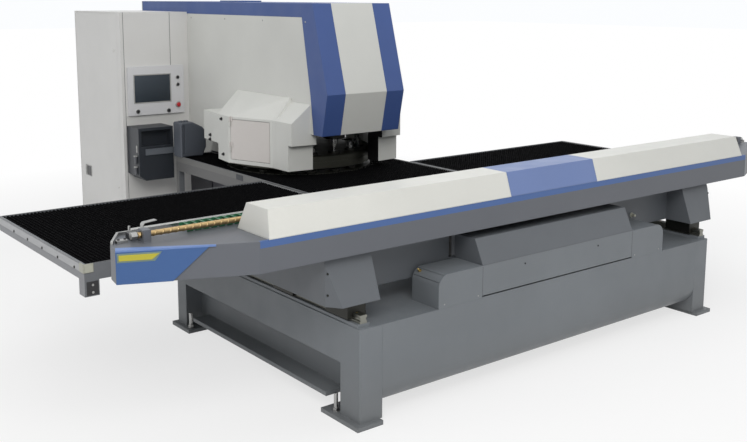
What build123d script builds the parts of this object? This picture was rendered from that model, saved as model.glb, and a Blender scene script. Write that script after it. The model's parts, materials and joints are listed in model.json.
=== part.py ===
# CNC turret punch press: C-frame with a turret, fixed centre table, and a Y carriage that
# carries the wing tables, the cross beam and the X carriage with its sheet clamps.
# Millimetres. +X runs along the cross beam, +Y to the rear, +Z up. The origin is on the
# floor, in the middle of the machine's plan.
import os
from math import cos, hypot, pi, radians, sin

from build123d import *

os.makedirs("parts", exist_ok=True)

sides = {"left": -1, "right": 1}

# Clearances
slide_gap = 0.3       # between pieces that slide on each other
shaft_gap = 0.05      # radial, at a running shaft
door_gap = 3          # around doors

# Sides of round pieces that repeat or are large, where a true circle would have many faces
bore_sides = 6
tool_sides = 8
pin_sides = 12
disc_sides = 36

# Base weldment
base_half_width = 1569
base_front = -2587
base_length = 2072
base_top = 544
wall_bottom = 80
side_frame_width = 150
front_column = 174
rear_column = 121
recess_depth = 120
recess_top = 317
flange_thickness = 25
plate = 25
front_wall_roll = 130
foot_thickness = 25
foot_width = 170
foot_outset = 35
front_foot_length = 335
rear_foot_length = 243
foot_overhang = 28
anchor_x = 1495
anchor_radius = 11
leveler_x = 1563
leveler_radius = 12
leveler_height = 102
leveler_nut = 20

base_rear = base_front + base_length
front_foot = (base_front - foot_overhang, base_front - foot_overhang + front_foot_length)
rear_foot = (base_rear + plate - rear_foot_length, base_rear + plate)
front_bolt_y = base_front + front_column + 48
rear_bolt_y = base_rear - rear_column - 49
inner_x = base_half_width - side_frame_width

# Y rails and guide blocks
rail_x = 1525
rail_pad = 20
rail_width = 45
rail_height = 46
rail_groove = 6
guide_width = 120
guide_length = 200
guide_lift = 16

rail_bottom = base_top + rail_pad
rail_top = rail_bottom + rail_height

# Y carriage underframe
carriage_front = -2549
carriage_lean = 93
leg_inner = 1403
leg_outer = 1707
leg_bottom = 667
leg_rear = -1760
leg_shoulder = 850
leg_corner = (57, 77)
web_y = (-2340, -2310)
notch_half_width = 725
notch_top = 738

# Cross beam
beam_bottom = 926
beam_height = 162
beam_front = -2516
beam_rear = -1941
beam_fold_x = 2117
beam_tip = (2735, -2252)
beam_tip_rear = (2719, -2157)
beam_corner = (2615, -1987)
beam_rear_x = 2570
beam_top = beam_bottom + beam_height
end_cover_thickness = 8
end_cover_inner = (2498, 2333)

# Cover on the beam
cover_half_length = 2065
cover_height = 140
cover_end_slope = 20
cover_rear = -2211
cover_front_slope = 48
cover_rear_slope = 57
centre_cover_half = 393
cover_sheet = 4

# X axis
x_rail_half = 2540
x_rail_width = 34
x_rail_height = 20
top_rail_y = -1980
back_rail_z = 970
x_screw_y = -2170
x_screw_lift = 34
x_screw_radius = 16
x_screw_half = 2590
x_bearing = (40, 60)
x_bearing_x = 2550
carrier_y = (-2130, -2040)
carrier_height = 32
carrier_half = 2306
carrier_links = 28
x_carriage_half = 700
x_plate = 24
x_plate_bottom = 890
x_nut_half = 60

# Sheet clamps
clamp_x = 520
clamp_half = 65
clamp_depth = 110
clamp_top = 965
jaw_length = 65
lower_jaw = 6
jaw_gap = 10
jaw_pivot = (70, 925)
jaw_pin_radius = 9

# Tables
table_top = 876
rail_wall = 12
brush_depth = 30
centre_half = 711
centre_rail = 130
centre_rear = 1187
wing_inner = 726
wing_outer = 2663
wing_front = -1667
wing_rear = -271
wing_rail = 90
arm_width = 60
arm_height = 60
arm_rear = -320
cross_bar = 40
post = 50
bracket = (80, 77, 86)

# Y drive
housing_half = 1023
housing_rear = -2360
housing_top = 735
housing_sheet = 6
housing_round = 70
hood_half = 686
hood_top = 880
hood_rear = -2348
hood_slope = 71
slot_height = 8
screw_z = 606
screw_radius = 25
screw_front = -2470
screw_rear = -550
motor_x = 170

# C-frame
frame_half = 356
frame_floor = 60
lower_arm_front = -480
lower_arm_top = 700
throat_rear = 980
throat_top = 1240
column_rear = 2514
machine_top = 2200
head_skin = 12
head_top_y = -421
head_bend = (-612, 1527)
head_bottom = (-545, 1211)
head_roof_y = -262
band_bottom = 2094
band_points = [(-282, 2094), (-391, 1510), (-430, 1211)]
stripe_half = 197
panel_foot = 80
panel_front = 1190
panel_above_table = 890

# Turret
turret_y = 319
turret_radius = 600
pitch_radius = 500
stations = 16
empty_stations = (4, 8, 12)
pass_height = 882
die_height = 12
upper_bottom = 905
upper_thickness = 107
lower_bottom = 790
station_radius = 40
empty_radius = 46
guide_flange = (46, 14)
spring_height = 32
punch_head = (24, 25)
punch_shank = 14
die_radius = 44
die_bore = 16
slug_radius = 26
hub_radius = 80
hub_flange = (140, 28)
ram_housing_radius = 110
ram_flange = (150, 15)
ram_housing_drop = 110
ram_bore_height = 160
striker_radius = 30
striker_gap = 1

# Turret side covers
cover_bottom = 930
cover_eaves = 1303
cover_ridge = 1469
hood_ridge = 1440
cover_wall = 5
step_z = 1130
door_margin = 25
door_bottom = 960
door_top = 1285
hinge_radius = 7

# Drive cover on the table corner
drive_cover_y = (1050, 1187)
drive_cover_top = 1187

# Control cabinet
cabinet_x = (-1014, -368)
cabinet_y = (1583, 2615)
cabinet_top = 2109
cabinet_wall = 6
plinth = 80
door_thickness = 20
side_door_y = (1660, 2602)
side_door_z = (90, 2095)
panel_x = (-967, -428)
panel_z = (1201, 1635)
panel_depth = 25
screen_x = (-908, -566)
screen_z = (1316, 1555)
screen_thickness = 6
button_x = -491
estop_z = 1276
estop_radius = 20
estop_gap = 8
push_button_z = {"start_button": 1525, "stop_button": 1459}
knob_places = {"mode_knob": (-883, 1238), "feed_knob": (-587, 1229)}
stem_radius = 8
stem_length = 20
air_box_x = (-982, -655)
air_box_y = 1346
air_box_z = (650, 1114)
air_bar_z = (876, 930)


def save(builder, label):
    builder.part.label = label
    export_step(builder.part, f"parts/{label}.step")


def slab(x, y, z, mode=Mode.ADD):
    """A block between two limits along each axis."""
    with Locations(((x[0] + x[1]) / 2, (y[0] + y[1]) / 2, (z[0] + z[1]) / 2)):
        Box(abs(x[1] - x[0]), abs(y[1] - y[0]), abs(z[1] - z[0]), mode=mode)


def side_profile(points, x, mode=Mode.ADD):
    """An outline in Y and Z, extruded along X between two limits."""
    with BuildSketch(Plane.YZ.offset(min(x))) as outline:
        Polygon(*points, align=None)
    extrude(outline.sketch, amount=abs(x[1] - x[0]), mode=mode)


def plan_profile(points, z, mode=Mode.ADD):
    """An outline in X and Y, extruded upward between two limits."""
    with BuildSketch(Plane.XY.offset(z[0])) as outline:
        Polygon(*points, align=None)
    extrude(outline.sketch, amount=z[1] - z[0], mode=mode)


def round_outline(radius, side_count):
    """A circle, or a regular polygon where a repeated piece has few faces."""
    if side_count:
        RegularPolygon(radius, side_count)
    else:
        Circle(radius)


def clear_radius(radius, side_count):
    """Corner radius of a polygon bore in which a round shaft of this radius turns."""
    return radius / cos(pi / side_count)


def upright(x, y, radius, z, mode=Mode.ADD, side_count=None):
    """A vertical round bar between two heights."""
    with BuildSketch(Plane.XY.offset(min(z))) as outline:
        with Locations((x, y)):
            round_outline(radius, side_count)
    extrude(outline.sketch, amount=max(z) - min(z), mode=mode)


def along_y(x, z, radius, y, mode=Mode.ADD, side_count=None):
    """A round bar along Y between two limits."""
    with BuildSketch(Plane.XZ.offset(-max(y))) as outline:
        with Locations((x, z)):
            round_outline(radius, side_count)
    extrude(outline.sketch, amount=max(y) - min(y), mode=mode)


def along_x(y, z, radius, x, mode=Mode.ADD, side_count=None):
    """A round bar along X between two limits."""
    with BuildSketch(Plane.YZ.offset(min(x))) as outline:
        with Locations((y, z)):
            round_outline(radius, side_count)
    extrude(outline.sketch, amount=max(x) - min(x), mode=mode)


def moved_sideways(points, distance, closed=False):
    """An outline moved to its left by a distance, with its corners kept sharp."""
    if not distance:
        return list(points)
    ends = points[1:] + points[:1] if closed else points[1:]
    lines = []
    for start, end in zip(points, ends):
        length = hypot(end[0] - start[0], end[1] - start[1])
        across = ((start[1] - end[1]) / length * distance, (end[0] - start[0]) / length * distance)
        lines.append(((start[0] + across[0], start[1] + across[1]), (end[0] + across[0], end[1] + across[1])))
    befores = lines[-1:] + lines[:-1] if closed else lines[:-1]
    afters = lines if closed else lines[1:]
    corners = []
    for (p1, p2), (p3, p4) in zip(befores, afters):
        d1 = (p2[0] - p1[0], p2[1] - p1[1])
        d2 = (p4[0] - p3[0], p4[1] - p3[1])
        share = ((p3[0] - p1[0]) * d2[1] - (p3[1] - p1[1]) * d2[0]) / (d1[0] * d2[1] - d1[1] * d2[0])
        corners.append((p1[0] + share * d1[0], p1[1] + share * d1[1]))
    return corners if closed else [lines[0][0]] + corners + [lines[-1][1]]


# Base side frames: two columns and a top beam round a recessed web with a bottom flange
for name, side in sides.items():
    outer = side * base_half_width
    inner = side * inner_x
    web = side * (base_half_width - recess_depth)
    foot_outer = side * (base_half_width + foot_outset)
    foot_inner = side * (base_half_width + foot_outset - foot_width)
    recess_y = (base_front + front_column, base_rear - rear_column)
    with BuildPart() as base_side:
        slab((inner, outer), (base_front, base_rear), (foot_thickness, base_top))
        slab((web, outer), recess_y, (foot_thickness, recess_top), Mode.SUBTRACT)
        slab((inner, web), recess_y, (foot_thickness, wall_bottom), Mode.SUBTRACT)
        slab((web, outer), (front_foot[1], rear_foot[0]), (wall_bottom, wall_bottom + flange_thickness))
        column_edges = base_side.edges().filter_by(Axis.Z).filter_by_position(Axis.X, outer - 1, outer + 1)
        chamfer(column_edges.sort_by(Axis.Y)[0], 8)
        for foot_y in (front_foot, rear_foot):
            slab((foot_inner, foot_outer), foot_y, (0, foot_thickness))
        rail_strip = (side * (rail_x - 40), side * (rail_x + 40))
        slab(rail_strip, (base_front + 27, base_rear), (base_top, rail_bottom))
        for bolt_y in (front_bolt_y, rear_bolt_y):
            upright(side * anchor_x, bolt_y, anchor_radius, (0, foot_thickness), Mode.SUBTRACT)
            upright(side * leveler_x, bolt_y, leveler_radius + slide_gap, (0, foot_thickness), Mode.SUBTRACT,
                    bore_sides)
    save(base_side, f"base_side_{name}")

# Levelling bolts: a stud through each foot with its nut
with BuildPart() as leveling_bolts:
    for side in sides.values():
        for bolt_y in (front_bolt_y, rear_bolt_y):
            upright(side * leveler_x, bolt_y, leveler_radius, (0, foot_thickness + leveler_height),
                    side_count=bore_sides)
            with BuildSketch(Plane.XY.offset(foot_thickness)):
                with Locations((side * leveler_x, bolt_y)):
                    RegularPolygon(leveler_nut, bore_sides)
            extrude(amount=18)
save(leveling_bolts, "leveling_bolts")

# Front wall: one plate, rolled inward along its lower edge
roll_z = wall_bottom + front_wall_roll
with BuildPart() as base_front_wall:
    with BuildSketch(Plane.YZ.offset(-inner_x)):
        with BuildLine():
            Line((base_front, base_top), (base_front, roll_z))
            RadiusArc((base_front, roll_z), (base_front + front_wall_roll, wall_bottom), -front_wall_roll)
            Line((base_front + front_wall_roll, wall_bottom), (base_front + front_wall_roll, wall_bottom + plate))
            RadiusArc((base_front + front_wall_roll, wall_bottom + plate), (base_front + plate, roll_z),
                      front_wall_roll - plate)
            Line((base_front + plate, roll_z), (base_front + plate, base_top))
            Line((base_front + plate, base_top), (base_front, base_top))
        make_face()
    extrude(amount=2 * inner_x)
save(base_front_wall, "base_front_wall")

# Deck: top plate with the rear wall and two cross ribs under it
with BuildPart() as base_deck:
    slab((-inner_x, inner_x), (base_front + plate, base_rear), (base_top - plate, base_top))
    slab((-inner_x, inner_x), (base_rear - plate, base_rear), (wall_bottom, base_top - plate))
    for share in (1 / 4, 2 / 4, 3 / 4):
        rib_y = base_front + base_length * share
        slab((-inner_x, inner_x), (rib_y, rib_y + plate), (recess_top, base_top - plate))
save(base_deck, "base_deck")

# Y rails: waisted section
with BuildPart() as y_rails:
    for side in sides.values():
        with BuildSketch(Plane.XZ.offset(-(base_rear - 15))):
            with Locations((side * rail_x, rail_bottom)):
                half = rail_width / 2
                waist = half - rail_groove
                Polygon((-half, 0), (half, 0), (half, 12), (waist, 18), (waist, 28), (half, 34),
                        (half, rail_height), (-half, rail_height), (-half, 34), (-waist, 28),
                        (-waist, 18), (-half, 12), align=None)
        extrude(amount=base_length - 42)
save(y_rails, "y_rails")

# Guide blocks: two under each leg, each straddling its rail
block_starts = (carriage_front + 49, leg_rear - 220)
with BuildPart() as guide_blocks:
    for side in sides.values():
        for start in block_starts:
            x_limits = (side * rail_x - guide_width / 2, side * rail_x + guide_width / 2)
            slab(x_limits, (start, start + guide_length), (rail_bottom + guide_lift, leg_bottom))
            channel = rail_width / 2 + slide_gap
            slab((side * rail_x - channel, side * rail_x + channel), (start, start + guide_length),
                 (rail_bottom + guide_lift, rail_top + slide_gap), Mode.SUBTRACT)
save(guide_blocks, "guide_blocks")

# Underframe: two leaning legs, the notched web between them and the screw nut below it
nut_y = (web_y[0], web_y[0] + 110)
with BuildPart() as underframe:
    for side in sides.values():
        corner_x = leg_outer - leg_corner[0]
        corner_y = carriage_front + leg_corner[1]
        leg_plan = [(side * leg_inner, carriage_front), (side * corner_x, carriage_front),
                    (side * leg_outer, corner_y), (side * leg_outer, leg_rear), (side * leg_inner, leg_rear)]
        plan_profile(leg_plan, (leg_bottom, beam_bottom))
    leg_front = [(carriage_front, leg_bottom), (carriage_front + carriage_lean, beam_bottom),
                 (carriage_front - 1, beam_bottom), (carriage_front - 1, leg_bottom)]
    side_profile(leg_front, (-leg_outer, leg_outer), Mode.SUBTRACT)
    slab((-leg_outer, leg_outer), (beam_rear, leg_rear), (leg_shoulder, beam_bottom), Mode.SUBTRACT)
    slab((-leg_inner, leg_inner), web_y, (leg_bottom, beam_bottom))
    slab((-notch_half_width, notch_half_width), web_y, (notch_top, beam_bottom), Mode.SUBTRACT)
    slab((-55, 55), nut_y, (screw_z - 46, leg_bottom))
    along_y(0, screw_z, clear_radius(screw_radius + slide_gap, pin_sides), nut_y, Mode.SUBTRACT, pin_sides)
save(underframe, "underframe")

# Y drive housing: a long cover with rounded top corners, open below
with BuildPart() as y_drive_housing:
    slab((-housing_half, housing_half), (base_front, housing_rear), (base_top, housing_top))
    top_ends = y_drive_housing.edges().filter_by(Axis.Y).group_by(Axis.Z)[-1]
    fillet(top_ends, housing_round)
    cavity_half = housing_half - housing_sheet
    with BuildSketch(Plane.XZ.offset(-(housing_rear - housing_sheet))):
        with Locations((0, base_top)):
            Rectangle(2 * cavity_half, housing_top - housing_sheet - base_top, align=(Align.CENTER, Align.MIN))
        top_corners = vertices().group_by(Axis.Z)[-1]
        chamfer(top_corners, housing_round / 2)
    extrude(amount=housing_rear - base_front - 2 * housing_sheet, mode=Mode.SUBTRACT)
    slab((-hood_half, hood_half), (base_front, base_front + housing_sheet),
         (base_top + 6, base_top + 6 + slot_height), Mode.SUBTRACT)
    along_y(0, screw_z, screw_radius + 10, (housing_rear - housing_sheet, housing_rear), Mode.SUBTRACT, pin_sides)
save(y_drive_housing, "y_drive_housing")

# Hood on the housing: leaning front, open below
hood_outline = [(base_front, housing_top), (base_front + hood_slope, hood_top), (hood_rear, hood_top),
                (hood_rear, housing_top)]
with BuildPart() as y_drive_hood:
    side_profile(hood_outline, (-hood_half, hood_half))
    with BuildSketch(Plane.YZ.offset(-hood_half + housing_sheet)):
        Polygon(*hood_outline, align=None)
        offset(amount=-housing_sheet, kind=Kind.INTERSECTION)
    extrude(amount=2 * (hood_half - housing_sheet), mode=Mode.SUBTRACT)
    slab((-hood_half + housing_sheet, hood_half - housing_sheet),
         (base_front + 2 * housing_sheet, hood_rear - housing_sheet),
         (housing_top, housing_top + housing_sheet), Mode.SUBTRACT)
save(y_drive_hood, "y_drive_hood")

# Y drive unit: motor with its belt case, and a bearing block at each end of the screw
front_bearing = (screw_front + 30, screw_front + 80)
rear_bearing = (screw_rear - 60, screw_rear - 10)
with BuildPart() as y_drive_unit:
    for bearing_y in (front_bearing, rear_bearing):
        slab((-60, 60), bearing_y, (base_top, screw_z + 50))
        along_y(0, screw_z, clear_radius(screw_radius + shaft_gap, pin_sides), bearing_y, Mode.SUBTRACT,
                pin_sides)
    slab((motor_x - 65, motor_x + 65), (screw_front + 30, housing_rear - 20), (base_top, base_top + 130))
    slab((motor_x - 75, motor_x + 75), (screw_front, screw_front + 30), (base_top, base_top + 140))
save(y_drive_unit, "y_drive_unit")

with BuildPart() as y_ball_screw:
    along_y(0, screw_z, screw_radius, (screw_front, screw_rear))
save(y_ball_screw, "y_ball_screw")

# Cross beam: swept-back ends, with the X screw's bearing blocks on top
beam_plan_right = [(beam_fold_x, beam_front), beam_tip, beam_tip_rear, beam_corner, (beam_rear_x, beam_rear)]
beam_plan_left = [(-x, y) for x, y in reversed(beam_plan_right)]
x_screw_z = beam_top + x_screw_lift
with BuildPart() as cross_beam:
    plan_profile(beam_plan_right + beam_plan_left, (beam_bottom, beam_top))
    for side in sides.values():
        start = side * x_bearing_x
        slab((start - x_bearing[0] / 2, start + x_bearing[0] / 2),
             (x_screw_y - x_bearing[1] / 2, x_screw_y + x_bearing[1] / 2), (beam_top, x_screw_z + 26))
    along_x(x_screw_y, x_screw_z, clear_radius(x_screw_radius + shaft_gap, pin_sides),
            (-x_screw_half, x_screw_half), Mode.SUBTRACT, pin_sides)
save(cross_beam, "cross_beam")

# End covers: a thin blue skin on each swept face, with a slanted inner edge
sweep_x = beam_tip[0] - beam_fold_x
sweep_y = beam_tip[1] - beam_front
sweep_length = hypot(sweep_x, sweep_y)
with BuildPart() as beam_end_covers:
    for side in sides.values():
        swept_face = Plane(origin=(side * beam_tip[0], beam_tip[1], beam_bottom),
                           x_dir=(-side * sweep_x, -sweep_y, 0),
                           z_dir=(side * sweep_y, -sweep_x, 0))
        low = (beam_tip[0] - end_cover_inner[0]) * sweep_length / sweep_x
        high = (beam_tip[0] - end_cover_inner[1]) * sweep_length / sweep_x
        up = -side * beam_height
        with BuildSketch(swept_face):
            Polygon((0, 0), (low, 0), (high, up), (0, up), align=None)
        extrude(amount=end_cover_thickness)
save(beam_end_covers, "beam_end_covers")

# Cover on the beam: three shells with leaning front and rear
cover_top = beam_top + cover_height


def beam_cover_form(x_low, x_high, slope_low, slope_high, inset):
    """A cover's outer form, or its hollow when an inset is given."""
    front_top = beam_front + cover_front_slope + inset
    rear_top = cover_rear - cover_rear_slope - inset
    bottom = [(x, y, beam_top) for x in (x_low + inset, x_high - inset)
              for y in (beam_front + inset, cover_rear - inset)]
    top = [(x, y, cover_top - inset) for x in (x_low + slope_low + inset, x_high - slope_high - inset)
           for y in (front_top, rear_top)]
    ConvexPolyhedron(bottom + top, mode=Mode.SUBTRACT if inset else Mode.ADD)


cover_spans = {
    "beam_cover_left": (-cover_half_length, -centre_cover_half, cover_end_slope, 0),
    "beam_cover_center": (-centre_cover_half, centre_cover_half, 0, 0),
    "beam_cover_right": (centre_cover_half, cover_half_length, 0, cover_end_slope),
}
for label, span in cover_spans.items():
    with BuildPart() as beam_cover:
        beam_cover_form(*span, 0)
        beam_cover_form(*span, cover_sheet)
    save(beam_cover, label)

# X rails: one on the beam's top, one on its rear face
with BuildPart() as x_rails:
    slab((-x_rail_half, x_rail_half), (top_rail_y - x_rail_width / 2, top_rail_y + x_rail_width / 2),
         (beam_top, beam_top + x_rail_height))
    slab((-x_rail_half, x_rail_half), (beam_rear, beam_rear + x_rail_height),
         (back_rail_z - x_rail_width / 2, back_rail_z + x_rail_width / 2))
save(x_rails, "x_rails")

with BuildPart() as x_ball_screw:
    along_x(x_screw_y, x_screw_z, x_screw_radius, (-x_screw_half, x_screw_half))
save(x_ball_screw, "x_ball_screw")

# Cable carrier: a chain of links laid along the beam
link_pitch = 2 * carrier_half / carrier_links
with BuildPart() as cable_carrier:
    slab((-carrier_half, carrier_half), carrier_y, (beam_top, beam_top + carrier_height - 6))
    for index in range(carrier_links):
        start = -carrier_half + (index + 0.12) * link_pitch
        slab((start, start + 0.76 * link_pitch), carrier_y,
             (beam_top + carrier_height - 6, beam_top + carrier_height))
save(cable_carrier, "cable_carrier")

# X carriage: a bent plate over both rails, its guide blocks and the screw nut
guide_top = beam_top + x_rail_height + slide_gap
plate_low = beam_top + carrier_height + 8
plate_rear = beam_rear + 71
with BuildPart() as x_carriage:
    slab((-x_carriage_half, x_carriage_half), (top_rail_y - 30, plate_rear), (guide_top, guide_top + 18))
    slab((-x_carriage_half, x_carriage_half), (plate_rear - x_plate, plate_rear), (x_plate_bottom, guide_top + 18))
    for share in (-1, 0, 1):
        block_x = share * (x_carriage_half - 80)
        slab((block_x - 60, block_x + 60), (beam_rear + 8, plate_rear - x_plate),
             (back_rail_z - 45, back_rail_z + 45))
        slab((block_x - 60, block_x + 60), (top_rail_y - 45, top_rail_y + 45), (beam_top + 6, guide_top + 18))
    slab((-x_carriage_half, x_carriage_half),
         (beam_rear, beam_rear + x_rail_height + slide_gap),
         (back_rail_z - x_rail_width / 2 - slide_gap, back_rail_z + x_rail_width / 2 + slide_gap), Mode.SUBTRACT)
    slab((-x_carriage_half, x_carriage_half),
         (top_rail_y - x_rail_width / 2 - slide_gap, top_rail_y + x_rail_width / 2 + slide_gap),
         (beam_top, guide_top), Mode.SUBTRACT)
    slab((-x_nut_half, x_nut_half), (x_screw_y - 30, top_rail_y - 28), (plate_low, plate_low + 18))
    slab((-x_nut_half, x_nut_half), (top_rail_y - 45, top_rail_y - 25), (guide_top, plate_low + 18))
    slab((-x_nut_half, x_nut_half), (x_screw_y - 30, x_screw_y + 30), (beam_top + 5, plate_low + 18))
    along_x(x_screw_y, x_screw_z, clear_radius(x_screw_radius + slide_gap, pin_sides),
            (-x_nut_half, x_nut_half), Mode.SUBTRACT, pin_sides)
save(x_carriage, "x_carriage")

# Sheet clamps: a body with the lower jaw, and an upper jaw that pivots on its pin
clamp_low = table_top + 2
clamp_front = plate_rear + slide_gap
pivot_y = clamp_front + jaw_pivot[0]
pivot_z = jaw_pivot[1]
jaw_tip = clamp_front + clamp_depth + jaw_length
upper_jaw_bottom = clamp_low + lower_jaw + jaw_gap
for name, side in sides.items():
    centre = side * clamp_x
    with BuildPart() as clamp:
        body = [(clamp_front, clamp_low), (jaw_tip, clamp_low), (jaw_tip, clamp_low + lower_jaw),
                (clamp_front + clamp_depth - 70, clamp_low + lower_jaw),
                (clamp_front + clamp_depth - 70, clamp_top - 20), (clamp_front + clamp_depth - 90, clamp_top),
                (clamp_front, clamp_top)]
        side_profile(body, (centre - clamp_half, centre + clamp_half))
        for ear in (-1, 1):
            ear_x = (centre + ear * clamp_half, centre + ear * (clamp_half - 16))
            slab(ear_x, (clamp_front + clamp_depth - 70, pivot_y + 22), (clamp_low + lower_jaw, pivot_z + 22))
        along_x(pivot_y, pivot_z, clear_radius(jaw_pin_radius + slide_gap, pin_sides),
                (centre - clamp_half, centre + clamp_half), Mode.SUBTRACT, pin_sides)
    save(clamp, f"clamp_{name}")
    with BuildPart() as jaw:
        jaw_half = clamp_half - 17
        lever = [(pivot_y - 20, pivot_z - 16), (pivot_y + 4, upper_jaw_bottom), (jaw_tip, upper_jaw_bottom),
                 (jaw_tip, upper_jaw_bottom + 12), (pivot_y + 22, pivot_z + 16), (pivot_y - 20, pivot_z + 16)]
        side_profile(lever, (centre - jaw_half, centre + jaw_half))
        along_x(pivot_y, pivot_z, jaw_pin_radius, (centre - clamp_half, centre + clamp_half), side_count=pin_sides)
    save(jaw, f"jaw_{name}")

# Wing tables: an aluminium rail round the edge, cross bars, and arms from the carriage legs
rail_bottom_z = table_top - wing_rail
arm_centres = (leg_inner + 57, leg_outer - 47)
with BuildPart() as wing_tables:
    for side in sides.values():
        slab((side * wing_inner, side * wing_outer), (wing_front, wing_rear), (rail_bottom_z, table_top))
        slab((side * (wing_inner + rail_wall), side * (wing_outer - rail_wall)),
             (wing_front + rail_wall, wing_rear - rail_wall), (rail_bottom_z, table_top), Mode.SUBTRACT)
        for share in (0.04, 0.48, 0.93):
            bar_y = wing_front + share * (wing_rear - wing_front)
            slab((side * (wing_inner + rail_wall), side * (wing_outer - rail_wall)), (bar_y, bar_y + cross_bar),
                 (rail_bottom_z, table_top - brush_depth))
        for arm_x in arm_centres:
            slab((side * (arm_x - arm_width / 2), side * (arm_x + arm_width / 2)), (leg_rear, arm_rear),
                 (rail_bottom_z - arm_height, rail_bottom_z))
        slab((side * (wing_outer - bracket[0]), side * wing_outer),
             (wing_front, wing_front + bracket[1]), (rail_bottom_z - bracket[2], rail_bottom_z))
save(wing_tables, "wing_tables")

with BuildPart() as wing_brushes:
    for side in sides.values():
        slab((side * (wing_inner + rail_wall), side * (wing_outer - rail_wall)),
             (wing_front + rail_wall, wing_rear - rail_wall), (table_top - brush_depth, table_top))
save(wing_brushes, "wing_brushes")

# Centre table: side rails and cross bars round the turret, feet on the C-frame and rear posts
table_hole = turret_radius + 12
centre_bottom = table_top - centre_rail
column_gap = 5
notch_x = frame_half + column_gap
notch_y = throat_rear - column_gap
centre_plan = [(-centre_half, hood_rear), (centre_half, hood_rear), (centre_half, centre_rear),
               (notch_x, centre_rear), (notch_x, notch_y), (-notch_x, notch_y), (-notch_x, centre_rear),
               (-centre_half, centre_rear)]
bar_half = centre_half - rail_wall
front_bar = turret_y - table_hole - 60
rear_bar = notch_y - rail_wall - cross_bar
with BuildPart() as center_table_frame:
    plan_profile(centre_plan, (centre_bottom, table_top))
    with BuildSketch(Plane.XY.offset(centre_bottom)):
        Polygon(*centre_plan, align=None)
        offset(amount=-rail_wall, kind=Kind.INTERSECTION)
    extrude(amount=centre_rail, mode=Mode.SUBTRACT)
    for bar_y in (-2200, -1700, -1200, -700, front_bar, rear_bar):
        slab((-bar_half, bar_half), (bar_y, bar_y + cross_bar), (centre_bottom, table_top - brush_depth))
    for foot_x in (-frame_half + 60, frame_half - 60):
        for foot_y in (front_bar, rear_bar):
            slab((foot_x - 30, foot_x + 30), (foot_y, foot_y + cross_bar), (lower_arm_top, centre_bottom))
    for side in sides.values():
        slab((side * bar_half, side * (notch_x + rail_wall)), (1090, 1090 + cross_bar),
             (centre_bottom, table_top - brush_depth))
        slab((side * centre_half, side * (centre_half - post)), (centre_rear - post, centre_rear),
             (0, centre_bottom))
save(center_table_frame, "center_table_frame")

with BuildPart() as center_table_brushes:
    with BuildSketch(Plane.XY.offset(table_top - brush_depth)):
        Polygon(*centre_plan, align=None)
        offset(amount=-rail_wall, kind=Kind.INTERSECTION)
    extrude(amount=brush_depth)
    upright(0, turret_y, table_hole, (table_top - brush_depth, table_top), Mode.SUBTRACT, disc_sides)
save(center_table_brushes, "center_table_brushes")


# Head outline in Y and Z: roof edge, top corner, bend and bottom, and the same inside the skin
outer_head = [(head_roof_y, machine_top), (head_top_y, machine_top), head_bend, head_bottom]
inner_head = moved_sideways(outer_head, head_skin)
lean = (head_bottom[0] - head_bend[0]) / (head_bend[1] - head_bottom[1])
inner_head[-1] = (inner_head[-1][0] + lean * (inner_head[-1][1] - head_bottom[1]), head_bottom[1])

# C-frame: lower arm, rear column and upper arm with the head's leaning front
ram_y = turret_y - pitch_radius
frame_outline = [inner_head[0], inner_head[1], inner_head[2], inner_head[3],
                 (inner_head[3][0] + 60, head_bottom[1]), (inner_head[3][0] + 60, throat_top),
                 (throat_rear, throat_top), (throat_rear, lower_arm_top), (lower_arm_front, lower_arm_top),
                 (lower_arm_front, frame_floor), (column_rear, frame_floor),
                 (column_rear, machine_top - head_skin)]
with BuildPart() as main_frame:
    side_profile(frame_outline, (-frame_half, frame_half))
    upright(0, ram_y, ram_housing_radius + slide_gap, (throat_top, throat_top + ram_bore_height),
            Mode.SUBTRACT, pin_sides)
    for foot_x in (-frame_half + 90, frame_half - 90):
        for foot_y in (lower_arm_front + 90, throat_rear, column_rear - 90):
            slab((foot_x - 80, foot_x + 80), (foot_y - 80, foot_y + 80), (0, frame_floor))
save(main_frame, "main_frame")

# Head covers: white centre strip, blue sides that wrap round to the side faces
skin_outline = outer_head + list(reversed(inner_head))
with BuildPart() as head_cover_center:
    side_profile(skin_outline, (-stripe_half, stripe_half))
save(head_cover_center, "head_cover_center")

cover_side = frame_half + head_skin
for name, side in sides.items():
    with BuildPart() as head_cover:
        side_profile(skin_outline, (side * stripe_half, side * frame_half))
        band = outer_head + list(reversed(band_points)) + [(head_roof_y, band_bottom)]
        side_profile(band, (side * frame_half, side * cover_side))
    save(head_cover, f"head_cover_{name}")

# Top cover: blue roof with its side bands
with BuildPart() as top_cover:
    slab((-cover_side, cover_side), (head_roof_y, column_rear), (band_bottom, machine_top))
    slab((-frame_half, frame_half), (head_roof_y, column_rear), (band_bottom, machine_top - head_skin),
         Mode.SUBTRACT)
    with Locations((0, 1250, machine_top + 6)):
        Box(240, 320, 12)
save(top_cover, "top_cover")

# Side panels: white, stepped round the throat and the table
panel_outline = band_points + [(throat_rear, head_bottom[1]), (throat_rear, panel_above_table),
                               (panel_front, panel_above_table), (panel_front, panel_foot),
                               (column_rear, panel_foot), (column_rear, band_bottom)]
for name, side in sides.items():
    with BuildPart() as side_panel:
        side_profile(panel_outline, (side * frame_half, side * cover_side))
    save(side_panel, f"side_panel_{name}")

# Rear cover with ventilation slots
with BuildPart() as rear_cover:
    slab((-cover_side, cover_side), (column_rear, column_rear + head_skin), (panel_foot, machine_top))
    with BuildSketch(Plane.XZ.offset(-(column_rear + head_skin))):
        for row_z in (420, 1700):
            with Locations((0, row_z)):
                with GridLocations(300, 80, 2, 3):
                    Rectangle(220, 14)
    extrude(amount=head_skin / 2, mode=Mode.SUBTRACT)
save(rear_cover, "rear_cover")

# Turret discs, with one ring of stations
step = 360 / stations
first = -90


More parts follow.
